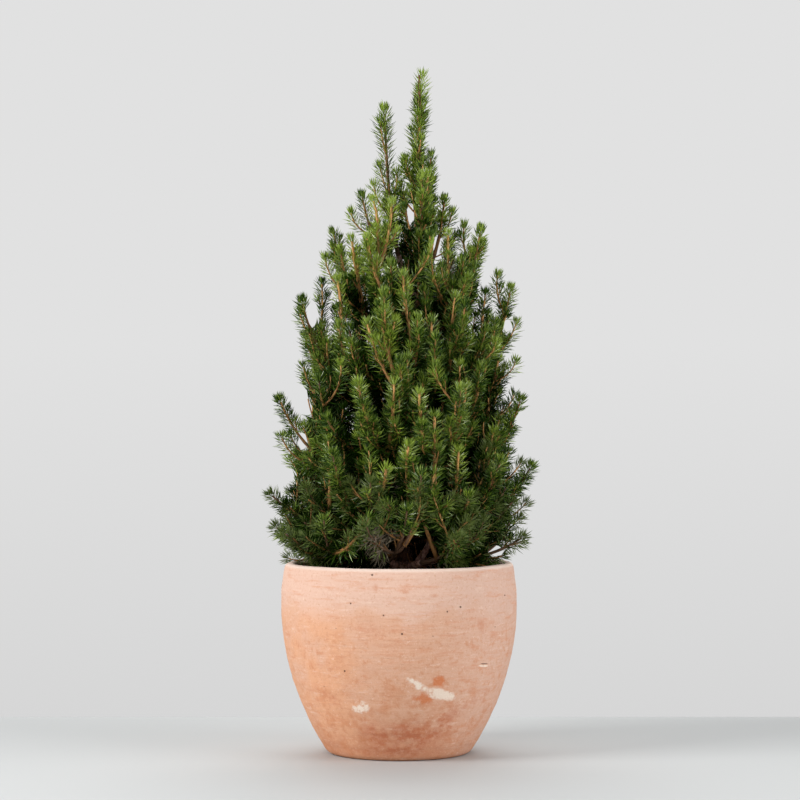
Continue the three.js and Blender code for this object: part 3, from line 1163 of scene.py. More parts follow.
@dataclass(frozen=True)
class CrownRule:
    """How shoots fill the crown: tips spread over the masses, each grown from the nearest limb."""

    girth: Curve = Curve((230, 350, 450, 530, 590), (108, 108, 88, 62, 38))  # the front's radius, by height
    spacing: Curve = Curve((14, 45), (11.5, 14.0))  # of tips, by how deep inside the crown they lie
    lowest: float = 186.0
    inset: float = 7.0  # of tips from the masses' surface
    tries: int = 8000
    nearest: float = 30.0  # shortest shoot
    furthest: float = 105.0
    strong: float = 78.0  # shortest strong shoot
    needle_room: float = 4.9  # how far needles reach past the end of a shoot whose tip is named
    outline_vigour: float = 0.8  # of the shoots that stand out against the backdrop
    outline_unsteady: float = 0.4  # how much less these vary
    stoutness: float = 1.7  # of a strong shoot's stem
    # A shoot aims outwards near the soil and nearly upright higher up, and varies less there.
    out: Curve = Curve((190, 250, 330, 450), (1.0, 0.6, 0.3, 0.16))
    rise: Curve = Curve((190, 250, 330), (0.25, 0.75, 1.0))
    unsteady: Curve = Curve((230, 330), (0.32, 0.09))
    foot: Curve = Curve((30, 100), (1.35 * 0.75, 1.35 * 1.25))  # stem radius, by the shoot's size
    end: float = 0.65

    def scattered(
        self, meshes: list[tuple[Array, Array]], limb_points: Array, rng: Random
    ) -> tuple[Array, Array]:
        """Points spread evenly under the masses' surfaces, half of them drawn in to the limbs.

        In a triangle a, b, c a point is (1-u) a + u (1-v) b + uv c, with u a random square root.

        Args:
            meshes: each mass's points and triangles.
            limb_points: points on the limbs.
            rng: the source of their places.

        Returns:
            The points, and the number of each one's mass.
        """
        corner = np.concatenate([points[triangles] for points, triangles in meshes])
        owner = np.repeat(np.arange(len(meshes)), [len(t) for _, t in meshes])
        normal = np.cross(corner[:, 1] - corner[:, 0], corner[:, 2] - corner[:, 0])
        area = np.linalg.norm(normal, axis=1)
        pick = rng.choice(len(area), self.tries, p=area / area.sum())
        u, v = np.sqrt(rng.uniform(0, 1, self.tries))[:, None], rng.uniform(0, 1, self.tries)[:, None]
        a, b, c = corner[pick].transpose(1, 0, 2)
        points = (1 - u) * a + u * (1 - v) * b + u * v * c - unit(normal)[pick] * self.inset
        drawn_in = rng.uniform(-0.8, 0.75, self.tries).clip(0)[:, None]
        points += (nearest(points, limb_points) - points) * drawn_in
        good = points[:, 2] > self.lowest
        return points[good], owner[pick][good]

    def tips(
        self,
        meshes: list[tuple[Array, Array]],
        room: Room,
        limbs: Shoots,
        limb_points: Array,
        rng: Random,
    ) -> Tips:
        """Spreads tips over the masses, after the named ones.

        Args:
            meshes: each mass's points and triangles.
            room: the space that shoots may take.
            limbs: the limbs, whose tips are there already.
            limb_points: points on the limbs.
            rng: the source of their places.

        Returns:
            The tips, with a vigour of 1 for the strong front ones.
        """
        points, owner = self.scattered(meshes, limb_points, rng)
        depth = np.sqrt(np.maximum(self.girth(FRONT_TIPS[:, 1]) ** 2 - FRONT_TIPS[:, 0] ** 2, 100))
        strong = np.stack([FRONT_TIPS[:, 0], -depth, FRONT_TIPS[:, 1]], axis=1)
        front = np.linalg.norm(points - strong[:, None], axis=2).argmin(axis=1)
        side = np.linalg.norm(points[None, :, [0, 2]] - OUTLINE_TIPS[:, None], axis=2).argmin(axis=1)
        outline = np.stack([OUTLINE_TIPS[:, 0], points[side, 1], OUTLINE_TIPS[:, 1]], axis=1)
        points = np.concatenate([strong, limbs.tip, outline, points])
        owner = np.concatenate([owner[front], np.zeros(len(limbs), int), owner[side], owner])
        kept = thinned(points, self.spacing(room.depth(points)))
        bounds = np.cumsum([len(strong), len(limbs), len(outline)])
        kept = kept[(kept < bounds[0]) | (kept >= bounds[1])]
        vigour = rng.uniform(0.3, 0.79, len(kept))
        vigour[kept < bounds[2]] = self.outline_vigour
        vigour[kept < bounds[0]] = 1.0
        outward, _ = room.line.off(points)
        return Tips(points[kept], unit(outward[kept]), owner[kept], vigour)

    def grow(self, feet: Array, tips: Tips, rng: Random) -> Shoots:
        """Grows a shoot to each tip from the limb point that it reaches with the least bending.

        The cost of a limb point is its distance times 1 + 5 (1 - cosine of the angle there
        between the way to the tip and the direction in which the shoot ends).

        Args:
            feet: points on the limbs, boughs and trunk, where shoots may start.
            tips: where they end.
            rng: the source of its variation.

        Returns:
            The crown shoots, without those that no foot reaches.
        """
        bending_cost, unreachable = 5, 1e6
        height, named = tips.place[:, 2], tips.vigour >= self.outline_vigour
        steady = np.where(tips.vigour == self.outline_vigour, self.outline_unsteady, 1)[:, None]
        aim = unit(tips.outward * self.out(height)[:, None] + UP * self.rise(height)[:, None])
        aim = unit(aim + rng.normal(0, 1, aim.shape) * (self.unsteady(height)[:, None] * steady))
        tip = tips.place - aim * self.needle_room * named[:, None]
        away = tip[:, None] - feet
        distance = np.linalg.norm(away, axis=2)
        bending = 1 - (unit(away) * aim[:, None]).sum(axis=2)
        wanted = np.where(tips.vigour == 1, self.strong, self.nearest)[:, None]
        allowed = (distance > wanted) & (distance < self.furthest + wanted * 0.3)
        cost = np.where(allowed, distance * (1 + bending_cost * bending), unreachable + distance)
        best = cost.argmin(axis=1)
        size = np.take_along_axis(distance, best[:, None], axis=1)
        flat = np.ones(len(tip))
        stout = 1 + (self.stoutness - 1) * (tips.vigour == 1)
        foot, end = self.foot(size[:, 0]) * stout, self.end * stout
        order = Order.SHOOT * flat.astype(int)
        bend = tip - aim * size * 0.5
        grown = Shoots(feet[best], bend, tip, foot, end, 0.1 * flat, order, tips.mass, tips.vigour)
        return grown.where(cost.min(axis=1) < unreachable)


@dataclass
class Needles(Rows):
    """Needles on shoots."""

    points: Array  # (n, 4, 3): foot, two abreast at the middle, and tip
    shoot: Array  # the row of its shoot
    left: Array  # how far it stands below its shoot's tip
    axis: Array  # the point of the stem where it stands

    def __len__(self) -> int:
        """How many needles there are."""
        return len(self.shoot)


@dataclass(frozen=True)
class NeedleRule:
    """How needles stand round a shoot. Lengths are in millimetres and angles in degrees."""

    per_mm: float = 2.6
    fullness: Curve = Curve((20, 50), (1, 0.7))  # by how deep inside the crown it is
    open_share: float = 0.62  # of the needles stand on a strong shoot, so that its stem shows
    crowding: float = 1.7  # 1 for even needles, more for needles that crowd towards the tip
    length: float = 11.5
    longer: Curve = Curve((200, 350, 560, 630), (1.15, 1.0, 0.96, 1.15))  # by height
    width: Curve = Curve((30, 50), (1.0, 1.6))  # by depth, as single ones aren't seen deep inside
    tuft: float = 11.0  # the stretch below a tip over which needles close up
    angle: Curve = Curve((200, 330, 560), (68, 61, 50))  # from the stem, by height
    unsteady: Curve = Curve((220, 350), (15, 10))
    shut: Curve = Curve((300, 520), (0.55, 0.42))  # share of the angle that is left at a tip

    def grow(self, shoots: Shoots, depth: Array, rng: Random) -> Needles:
        """Grows needles by the golden angle round each shoot.

        A needle is a spindle of four points: its foot on the stem, two abreast at its middle, and
        its tip. It leaves the stem at an angle that closes towards the shoot's tip, and the points
        at its middle stand a little outwards, so that it bends forwards.

        Args:
            shoots: the shoots.
            depth: how far inside the crown each one's middle lies.
            rng: the source of its variation.

        Returns:
            The needles.
        """
        length = shoots.lengths()
        fullness = self.fullness(depth) * (0.85 + 0.2 * shoots.vigour)
        fullness[(shoots.vigour == 1) | (shoots.order == Order.LEADER)] *= self.open_share
        count = np.rint(length * (1 - shoots.leafy) * self.per_mm * fullness).astype(int)
        shoot, rank = shoots.ranks(count)
        share = 1 - (1 - (rank + rng.uniform(0, 1, len(rank))) / count[shoot]) ** self.crowding
        on = shoots.where(shoot)
        share = (on.leafy + (1 - on.leafy) * share)[:, None]
        axis, ahead = on.at(share)[:, 0], on.heading(share)[:, 0]
        spoke = spokes(ahead, rank * GOLDEN_ANGLE + rng.uniform(0, TURN, len(shoots))[shoot])
        left, height = (1 - share[:, 0]) * length[shoot], axis[:, 2]
        shut = self.shut(height)
        angle = self.angle(height) * (shut + (1 - shut) * ease(left, 0, self.tuft))
        angle += rng.normal(0, 1, len(rank)) * self.unsteady(height)
        tilt = np.radians(angle)[:, None]
        size = self.length * self.longer(height)
        size = size * (0.8 + 0.2 * ease(left, 0, 5)) * rng.uniform(0.8, 1.15, len(rank))
        stem = (on.foot + (on.end - on.foot) * share[:, 0])[:, None]
        foot = axis + spoke * stem * 0.8
        way = ahead * np.cos(tilt) + spoke * np.sin(tilt)
        tip = foot + way * size[:, None]
        beside = np.cross(ahead, spoke) * self.width(depth[shoot])[:, None] / 2
        middle = foot + way * size[:, None] * 0.5 + np.cross(beside, way) * 1.4
        points = np.stack([foot, middle - beside, middle + beside, tip], axis=1)
        return Needles(points, shoot, left, axis)


@dataclass(frozen=True)
class DeadPatch:
    """Where shoots have withered, low in front. Lengths are in millimetres."""

    x: float = -13.0
    half_width: float = 20.0
    back: float = -50.0
    top: float = 228.0
    needles_left: float = 0.6  # share of its needles

    def holds(self, points: Array) -> Array:
        """True for points in it."""
        beside = np.abs(points[:, 0] - self.x) < self.half_width
        return beside & (points[:, 1] < self.back) & (points[:, 2] < self.top)


@dataclass(frozen=True)
class TintRule:
    """How needles take their tints, by how dark they are. Lengths are in millimetres.

    Needles are painted darker inside the crown, as painted shade, and down along their shoot, where
    they are older and painted shade darkens them too. Each spray has a darkness of its own, and single
    needles stand out. Strong shoots and the leader are brighter, and the top of the tree is painted
    brighter as painted light, but for the tips there. Many low sprays are olive, and some old needles dry.
    """

    start: float = 1.35  # a tip's darkness, in tints
    # Painted shade: needles are painted darker the deeper inside the crown they lie.
    inside: float = 13.0  # how far inside the crown it is one tint darker
    inside_shade_share: Curve = Curve((380, 480), (1, 0.45))  # share of that, by height
    # Down along a shoot the needles are older, and painted shade darkens them too.
    along_strong: float = 70.0  # how far down a strong shoot it is one tint darker
    along_weak: float = 34.0
    spray: tuple[float, float] = (0.2, 0.45)  # mean and spread of a spray's own darkness
    single: float = 0.7  # spread of a single needle's
    # Painted light: the top of the tree is painted brighter.
    top: float = 0.35  # how much brighter the top is
    top_tips: float = 0.3  # how much darker its tips are
    strong: float = 0.8  # how much brighter strong shoots are
    leader: float = 1.2
    named: float = 0.3
    olive: Curve = Curve((230, 330), (0.9, 0))  # share of olive sprays, by height
    old: float = 0.08  # share of shoots with dry needles at their foot
    dead: float = 0.75  # share of dead shoots in the patch

    def choose(
        self, shoots: Shoots, needles: Needles, depth: Array, patch: Array, rng: Random
    ) -> Array:
        """Chooses each needle's tint.

        Args:
            shoots: the shoots.
            needles: the needles.
            depth: how far inside the crown each needle lies.
            patch: whether it lies in the dead patch.
            rng: the source of the variation.

        Returns:
            The slot of each needle's tint.
        """
        on, left, height = needles.shoot, needles.left, needles.axis[:, 2]
        spray, chance = rng.normal(*self.spray, len(shoots)), rng.uniform(0, 1, len(shoots))
        strong, leader = shoots.vigour > 0.9, shoots.order == Order.LEADER
        olive = (chance < self.olive(shoots.tip[:, 2])) & ~strong
        # Painted shade: darker deep inside the crown, and down along the shoot.
        level = np.clip(depth - 4, 0, 60) / self.inside * self.inside_shade_share(height)
        level += np.clip(left - 5, 0, 50) / np.where(strong, self.along_strong, self.along_weak)[on]
        level += self.top_tips * ease(height, 400, 540) * (1 - ease(left, 4, 20))
        # Painted light on the top of the tree.
        level -= self.top * ease(height, 440, 520)
        spray = spray - self.strong * strong - self.leader * leader - self.named * (shoots.vigour > 0.7)
        level += spray[on]
        level += rng.normal(0, self.single, len(needles))
        found = np.clip(level + self.start, 0, slot_of(Needle.SHADED)).astype(int)
        found[olive[on] & (found < slot_of(Needle.DEEP))] = slot_of(Needle.OLIVE)
        chance = rng.uniform(0, 1, len(shoots))[on]
        dry = (chance < self.old) & (left > 20) & (depth > 25) | patch & (chance < self.dead)
        return np.where(dry, slot_of(Needle.DRY), found)


# ---- The tree ----------------------------------------------------------------------------


@dataclass(frozen=True)
class StemKind:
    """How the stems of one order of shoots are drawn."""

    order: Order
    name: str
    rings: int
    sides: int
    young: Twig
    old: Twig
    low: float = 290.0  # below this height all wood is old, mm
    old_share: float = 0.4  # share of a stem, from its foot, with old wood
    patchy: float = 0.35  # share of old patches on the rest


@dataclass
class Spruce:
    """The tree: trunk and boughs with bark, limbs, crown shoots, twigs and needles."""

    pot: "Pot"
    seed: int
    main_limb: LimbRule = LimbRule(foot=2.6, end=0.8, leafy=0.25)
    cut_limb: LimbRule = LimbRule(foot=2.6, end=1.0, leafy=0.25)
    cut_share: float = 0.7  # of its way, of a limb that may not reach its tip
    side_limb: LimbRule = LimbRule(foot=1.9, end=0.7, leafy=0.2)
    inner: float = 12.0  # a limb leaves the trunk under this much of its mass's near side, mm
    fork: float = 0.28  # share of a main limb at which side limbs leave it
    apart: float = 8.0  # least distance of a side limb's tip from the main one's, mm
    leader_below: float = 60.0  # how far below its foliage the leader begins, mm
    leader_middle: float = 17.0  # the x of the leader half way up, mm
    leader_top: float = 24.0  # and at its tip
    core: tuple[float, float, float] = (330.0, 445.0, 560.0)  # the heights of the trunk's leafy part
    side_shoots: BranchRule = BranchRule(
        Order.SHOOT, spacing=11, bare=0.2, clear=12, angle=34, reach=0.34, length=(12, 42), radii=(1.0, 0.6)
    )
    small_shoots: BranchRule = BranchRule(
        Order.SMALL, spacing=9, bare=0.3, clear=14, angle=34, reach=0.38, length=(10, 26), radii=(0.75, 0.5)
    )
    core_shoots: BranchRule = BranchRule(
        Order.SMALL, spacing=5, bare=0, clear=0, angle=38, reach=1, length=(28, 46), radii=(0.9, 0.5)
    )
    dry_twigs: BranchRule = BranchRule(
        Order.DRY, spacing=4, bare=0.2, clear=1, angle=55, reach=0.9, length=(12, 34), radii=(0.7, 0.4)
    )
    stem_kinds: tuple[StemKind, ...] = (
        StemKind(Order.LIMB, "limbs", 14, 6, Twig.SECOND, Twig.WOOD),
        StemKind(Order.SHOOT, "shoot_stems", 9, 5, Twig.YOUNG, Twig.SECOND, 255.0),
        StemKind(Order.SMALL, "small_stems", 4, 4, Twig.YOUNG, Twig.SECOND),
        StemKind(Order.DRY, "dry_twigs", 7, 5, Twig.DEAD, Twig.SECOND),
    )
    bough_radius: Curve = Curve((0, 0.15, 1), (5.0, 4.2, 2.9))  # by share of its length
    patch: DeadPatch = DeadPatch()
    margin: float = 6.0  # how far past the crown's outline small shoots may reach, mm
    top_margin: float = 15.0  # and side shoots higher than top_from
    top_from: float = 540.0

    def __post_init__(self) -> None:
        """Reads the masses and boughs from the frame."""
        self.rng = np.random.default_rng(self.seed)
        self.line = TrunkLine()
        self.masses = sorted(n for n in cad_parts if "foliage" in n)
        self.bough_nodes = sorted(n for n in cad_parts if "bough" in n)
        self.meshes = {n: node_mesh(n) for n in self.masses}
        self.room = Room.over(self.pot, self.line, np.concatenate([p for p, _ in self.meshes.values()]))
        self.boughs = np.array([self.bough_path(n) for n in self.bough_nodes])

    def bough_path(self, node: str) -> Array:
        """Three points along a bough: the middles of its near end, its half and its far end.

        Args:
            node: the bough's node.

        Returns:
            The points (3, 3).
        """
        points, _ = node_mesh(node)
        _, along = self.line.off(points)
        share = (along - along.min()) / np.ptp(along)
        near, far = points[share < 0.2].mean(axis=0), points[share > 0.85].mean(axis=0)
        inner = points[(share > 0.25) & (share < 0.75)]
        return np.array([near, inner.mean(axis=0) if len(inner) else (near + far) / 2, far])

    def bough_stems(self) -> Shoots:
        """The bare boughs as shoots."""
        return Shoots.stems(*self.boughs.transpose(1, 0, 2), mass=0, vigour=1.0)

    def trunk_stem(self) -> Shoots:
        """The trunk's leafy part as a shoot, for the short ones that stand close round it."""
        heights = (self.line.at(np.array([height])) for height in self.core)
        return Shoots.stems(*heights, mass=self.masses.index("leader_foliage"), vigour=0.5)

    def leader(self, points: Array, number: int) -> Shoots:
        """The leader: the trunk's own top, bowed to one side and then back.

        Args:
            points: the points of its foliage mass.
            number: the mass's number.

        Returns:
            One shoot.
        """
        top = points[np.argmax(points[:, 2])] * [0, 1, 1] + [self.leader_top, 0, 0]
        foot = self.line.at(points[:, 2].min(keepdims=True) - self.leader_below)[0]
        made = LimbRule(float(self.line.radius(foot[2])), 1.0, 0.42).grow(foot, top, number)
        made.bend[:, 0] = 2 * self.leader_middle - (foot[0] + top[0]) / 2
        made.order[:] = Order.LEADER
        return made

    def main_limb_of(self, root: Array, tips: Array, number: int) -> Shoots:
        """A mass's main limb: to its furthest tip that no gap hides, or cut short.

        Args:
            root: where it leaves the trunk or its bough.
            tips: the tips of the mass's fingers, the furthest first.
            number: the mass's number.

        Returns:
            One shoot.
        """
        for tip in tips:
            made = self.main_limb.grow(root, tip, number)
            if self.room.clear(made, SKY_GAPS)[0]:
                return made
        return self.cut_limb.grow(root, root + (tips[0] - root) * self.cut_share, number)

    def limbs(self) -> Shoots:
        """The limbs: one to each finger of each mass, the side ones leaving the main one.

        Returns:
            The limbs, mass by mass.
        """
        found = []
        for number, node in enumerate(self.masses):
            points, triangles = self.meshes[node]
            bough = node.replace("foliage", "bough")
            if bough in self.bough_nodes:
                root = self.boughs[self.bough_nodes.index(bough), 2]
            else:
                _, far = self.line.off(points)
                inner = points[far < far.min() + self.inner] if node != "leader_foliage" else points
                root = self.line.at(inner[:, 2].min(keepdims=True))[0]
            tips = finger_tips(points, triangles, root)
            if node == "leader_foliage":
                main = self.leader(points, number)
            else:
                main = self.main_limb_of(root, tips, number)
            found.append(main)
            fork = main.at(np.array([[self.fork]]))[0, 0]
            for tip in tips:
                side = self.side_limb.grow(fork, tip, number)
                apart = np.linalg.norm(side.tip - main.tip) > self.apart
                if apart and self.room.clear(side, SKY_GAPS)[0]:
                    found.append(side)
        return Shoots.joined(found)

    def crown_shoots(self, limbs: Shoots) -> Shoots:
        """The crown shoots. Those on the outline grow last, and may also leave other crown shoots.

        Args:
            limbs: the limbs.

        Returns:
            The crown shoots that the room holds.
        """
        crown, room = CrownRule(), self.room
        along = limbs.spread(0, 0.85, 26).reshape(-1, 3)
        tips = crown.tips(list(self.meshes.values()), room, limbs, along, self.rng)
        stem = self.line.at(np.arange(200, 600, 5.0))
        boughs = [np.linspace(a, b, 8) for path in self.boughs for a, b in zip(path, path[1:])]
        feet = np.concatenate([along, stem, *boughs])
        named = tips.vigour == crown.outline_vigour
        tall = crown.grow(feet, tips.where(~named), self.rng)
        tall = tall.where((room.holds(tall.tip, 4) | (tall.vigour == 1)) & room.clear(tall))
        feet = np.concatenate([feet, tall.spread(0.3, 0.85, 8).reshape(-1, 3)])
        edge = crown.grow(feet, tips.where(named), self.rng)
        return Shoots.joined([tall, edge.where(room.clear(edge))])

    def grown(self) -> Shoots:
        """All shoots: limbs, crown shoots, side shoots on both, those round the trunk, and dry twigs.

        Returns:
            The shoots.
        """
        limbs = self.limbs()
        tall = self.crown_shoots(limbs)
        LOG.info("%d limbs, %d crown shoots", len(limbs), len(tall))
        side = self.side_shoots.grow(limbs, self.rng)
        small = self.small_shoots.grow(tall, self.rng)
        margin = np.where(side.tip[:, 2] > self.top_from, self.top_margin, self.margin)
        side = side.where(self.room.holds(side.tip, margin))
        core = self.core_shoots.grow(self.trunk_stem(), self.rng)
        found = Shoots.joined([tall, side, small.where(self.room.holds(small.tip, self.margin)), core])
        dry = self.dry_twigs.grow(self.bough_stems(), self.rng)
        dry = dry.where(self.room.holds(dry.tip, 0))
        dry.leafy[:] = 1
        return Shoots.joined([limbs, found.where(self.room.clear(found)), dry])

    def dress(self) -> None:
        """Makes the needles, twigs, trunk and boughs."""
        shoots = self.grown()
        LOG.info("%d shoots, %.1f m in all", len(shoots), shoots.lengths().sum() * MM)
        self.needle_pieces(shoots)
        materials = [tint.value.material() for tint in Twig]
        for kind in self.stem_kinds:
            self.twig_piece(shoots.where(shoots.order == kind.order), kind, materials)
        self.trunk_piece()
        self.bough_piece()

    def needle_pieces(self, shoots: Shoots) -> None:
        """Makes the needles, joined mass by mass into pieces under the limit.

        Args:
            shoots: the shoots that they stand on.
        """
        middle = shoots.at(np.full((len(shoots), 1), 0.6))[:, 0]
        needles = NeedleRule().grow(shoots, self.room.depth(middle), self.rng)
        hidden = [gap.takes(needles.axis) | gap.takes(needles.points).any(axis=1) for gap in GAPS]
        fallen = self.rng.uniform(0, 1, len(needles)) >= self.patch.needles_left
        fallen &= self.patch.holds(needles.axis)
        needles = needles.where(~(np.any(hidden, axis=0) | fallen))
        LOG.info("%d needles", len(needles))
        depth, dead = self.room.depth(needles.axis), self.patch.holds(needles.axis)
        tint = TintRule().choose(shoots, needles, depth, dead, self.rng)
        mass = shoots.mass[needles.shoot]
        groups, held = [[]], 0
        for number, count in enumerate(np.bincount(mass, minlength=len(self.masses)) * len(SPINDLE)):
            if held + count > PIECE_TRIANGLES:
                groups.append([])
                held = 0
            groups[-1].append(number)
            held += count
        materials = [tint.value.material() for tint in Needle]
        for number, group in enumerate(groups, 1):
            mine = np.isin(mass, group)
            piece = spindles(f"needles_{number}", needles.points[mine], materials, tint[mine])
            finish_piece(piece, tuple(self.masses[i] for i in group))

    def twig_piece(self, mine: Shoots, kind: StemKind, materials: list[Material]) -> None:
        """Makes the stems of one order of shoots as tubes: old wood at the foot, young further out.

        Args:
            mine: the shoots.
            kind: how they are drawn.
            materials: the twigs' materials.
        """
        share = np.linspace(0, 0.98, kind.rings)
        radii = mine.foot[:, None] + (mine.end - mine.foot)[:, None] * share
        radii *= self.rng.uniform(0.8, 1.2, radii.shape)
        points, (quads, ends) = tubes(mine.spread(0, 0.98, kind.rings), radii[..., None], kind.sides)
        young, old = slot_of(kind.young), slot_of(kind.old)
        around = (kind.rings - 1) * kind.sides  # quads on each stem
        row = np.arange(len(quads)) // kind.sides % (kind.rings - 1)
        low = np.repeat(mine.tip[:, 2] < kind.low, around)
        patchy = self.rng.uniform(0, 1, len(row)) < kind.patchy
        slots = np.where((row < kind.rings * kind.old_share) | low | patchy, old, young)
        slots[np.repeat(self.patch.holds(mine.tip), around)] = slot_of(Twig.DEAD)
        slots = np.concatenate([slots, np.full(len(ends), old)])
        finish_piece(mesh_object(kind.name, points, [quads, ends], materials, slots))

    def trunk_piece(self) -> None:
        """Makes the trunk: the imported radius, raised by two sizes of bark scales."""
        rings, sides = 260, 44
        scale_width, scale_length = 0.5, 0.35  # how much the noise is stretched round and along it
        height = np.linspace(self.line.heights[0], self.line.heights[-1], rings)
        radius = self.line.radius(height)[:, None]
        cosine, sine = circle(sides).T
        across = np.array([cosine * radius, sine * radius]) * scale_width
        girth = np.stack([*across, height[:, None] * scale_length + 0 * cosine], axis=-1)
        relief = rough(girth, 2.2, 5) * 0.09 + rough(girth, 0.8, 9, 2) * 0.04
        relief[[0, -1]] = 0
        points, faces = tubes(self.line.at(height)[None], (radius * (1 + relief))[None], sides)
        piece = mesh_object("trunk_bark", points, faces, [OLD_BARK.material()])
        finish_piece(piece, ("trunk",))

    def bough_piece(self) -> None:
        """Makes the bare boughs, each a tapering tube with bark relief, as one piece."""
        rings, sides = 40, 20
        paths = self.bough_stems().spread(0, 1, rings)
        radius = self.bough_radius(np.linspace(0, 1, rings))[:, None]
        girth = np.pad(circle(sides) * 1.5, ((0, 0), (0, 1)))
        relief = rough(paths[:, :, None] * 0.4 + girth, 1.6, 21) * 0.12
        points, faces = tubes(paths, radius * (1 + relief), sides)
        piece = mesh_object("bough_bark", points, faces, [YOUNG_BARK_PAINTED_LIGHT.material()])
        finish_piece(piece, tuple(self.bough_nodes))


# ---- Pot and soil ------------------------------------------------------------------------


@dataclass(frozen=True)
class Pot:
    """The pot's sizes in millimetres, and its making."""

    height: float
    belly_radius: float
    belly_height: float = 152
    belly_over_rim: float = 4  # how far the belly stands out past the rim
    foot_radius: float = 75
    foot_edge: float = 5
    foot_middle: float = 65.7  # the radius at which the foot's round edge is centred
    foot_round: float = 11
    rim_radius: float = 116
    wall: float = 11.5
    floor: float = 12
    lip_edge: float = 5
    sides: int = 400
    # Throwing rings, dents and grit, as squeeze along each axis, size, seed, octaves and height.
    reliefs: tuple[tuple, ...] = (
        ((0.05, 0.05, 1), 5, 31, 3, 0.22),
        ((1, 1, 1), 28, 41, 2, 0.35),
        ((1, 1, 1), 2.6, 51, 2, 0.07),
    )

    def radius(self, height: Array) -> Array:
        """The outer radius: a power curve up to the belly, then a gentle turn in to the rim.

        Args:
            height: the heights.

        Returns:
            The radius at each.
        """
        low = (self.belly_height - height) / (self.belly_height - self.foot_edge)
        high = (height - self.belly_height) / (self.height - self.lip_edge - self.belly_height)
        below = self.belly_radius - (self.belly_radius - self.foot_radius) * np.clip(low, 0, 1) ** 2.05
        above = self.belly_radius - (self.belly_radius - self.rim_radius) * np.clip(high, 0, 1) ** 2
        return np.where(height > self.belly_height, above, below)

    def outline(self) -> Array:
        """The closed outline: underside, foot edge, wall, lip, inside wall and inside floor.

        Returns:
            Rows of radius and height.
        """
        shoulder, edge = self.height - self.lip_edge, self.lip_edge
        foot = arc((self.foot_middle, self.foot_round), self.foot_round, -90, -31, 12)
        under = np.stack([np.linspace(8, foot[0, 0] - 2, 10), np.zeros(10)], axis=1)
        up = np.linspace(foot[-1, 1] + 1.2, shoulder - 1, 120)
        outside = np.stack([self.radius(up), up], axis=1)
        lip_outer = arc((self.rim_radius - edge, shoulder), edge, 0, 90, 9)
        lip_inner = arc((self.rim_radius - self.wall + edge, shoulder), edge, 90, 180, 9)
        down = np.linspace(shoulder - 1.5, self.floor + 6, 50)
        inside = np.stack([self.radius(down) - self.wall, down], axis=1)
        inward = np.linspace(self.foot_radius - self.wall - 6, 6, 8)
        floor = np.stack([inward, np.full(8, self.floor)], axis=1)
        low, high = [[0, 0]], [[0, self.floor]]
        return np.concatenate([low, under, foot, outside, lip_outer, lip_inner, inside, floor, high])

    def build(self) -> None:
        """Makes the pot, with throwing rings, dents and grit on its wall and a wavering lip."""
        points, faces = revolved(self.outline(), self.sides)
        radius = np.linalg.norm(points[:, :2], axis=1)[:, None]
        out = np.where(radius > 1, points[:, :2] / np.maximum(radius, 1), 0)
        around = np.concatenate([out * 40, points[:, 2:]], axis=1)
        raised = 0
        for squeeze, size, seed, octaves, height in self.reliefs:
            raised = raised + rough(around * squeeze, size, seed, octaves) * height
        points[:, :2] += out * (ease(points[:, 2], 3, 14) * raised)[:, None]
        lip = ease(points[:, 2], self.height - 14, self.height)
        points[:, 2] += lip * (rough(around * [1, 1, 0], 34, 61, 2) * 0.5 - 0.35)
        piece = mesh_object("pot_clay", points, faces, [Terracotta().material()])
        finish_piece(piece, ("pot",))


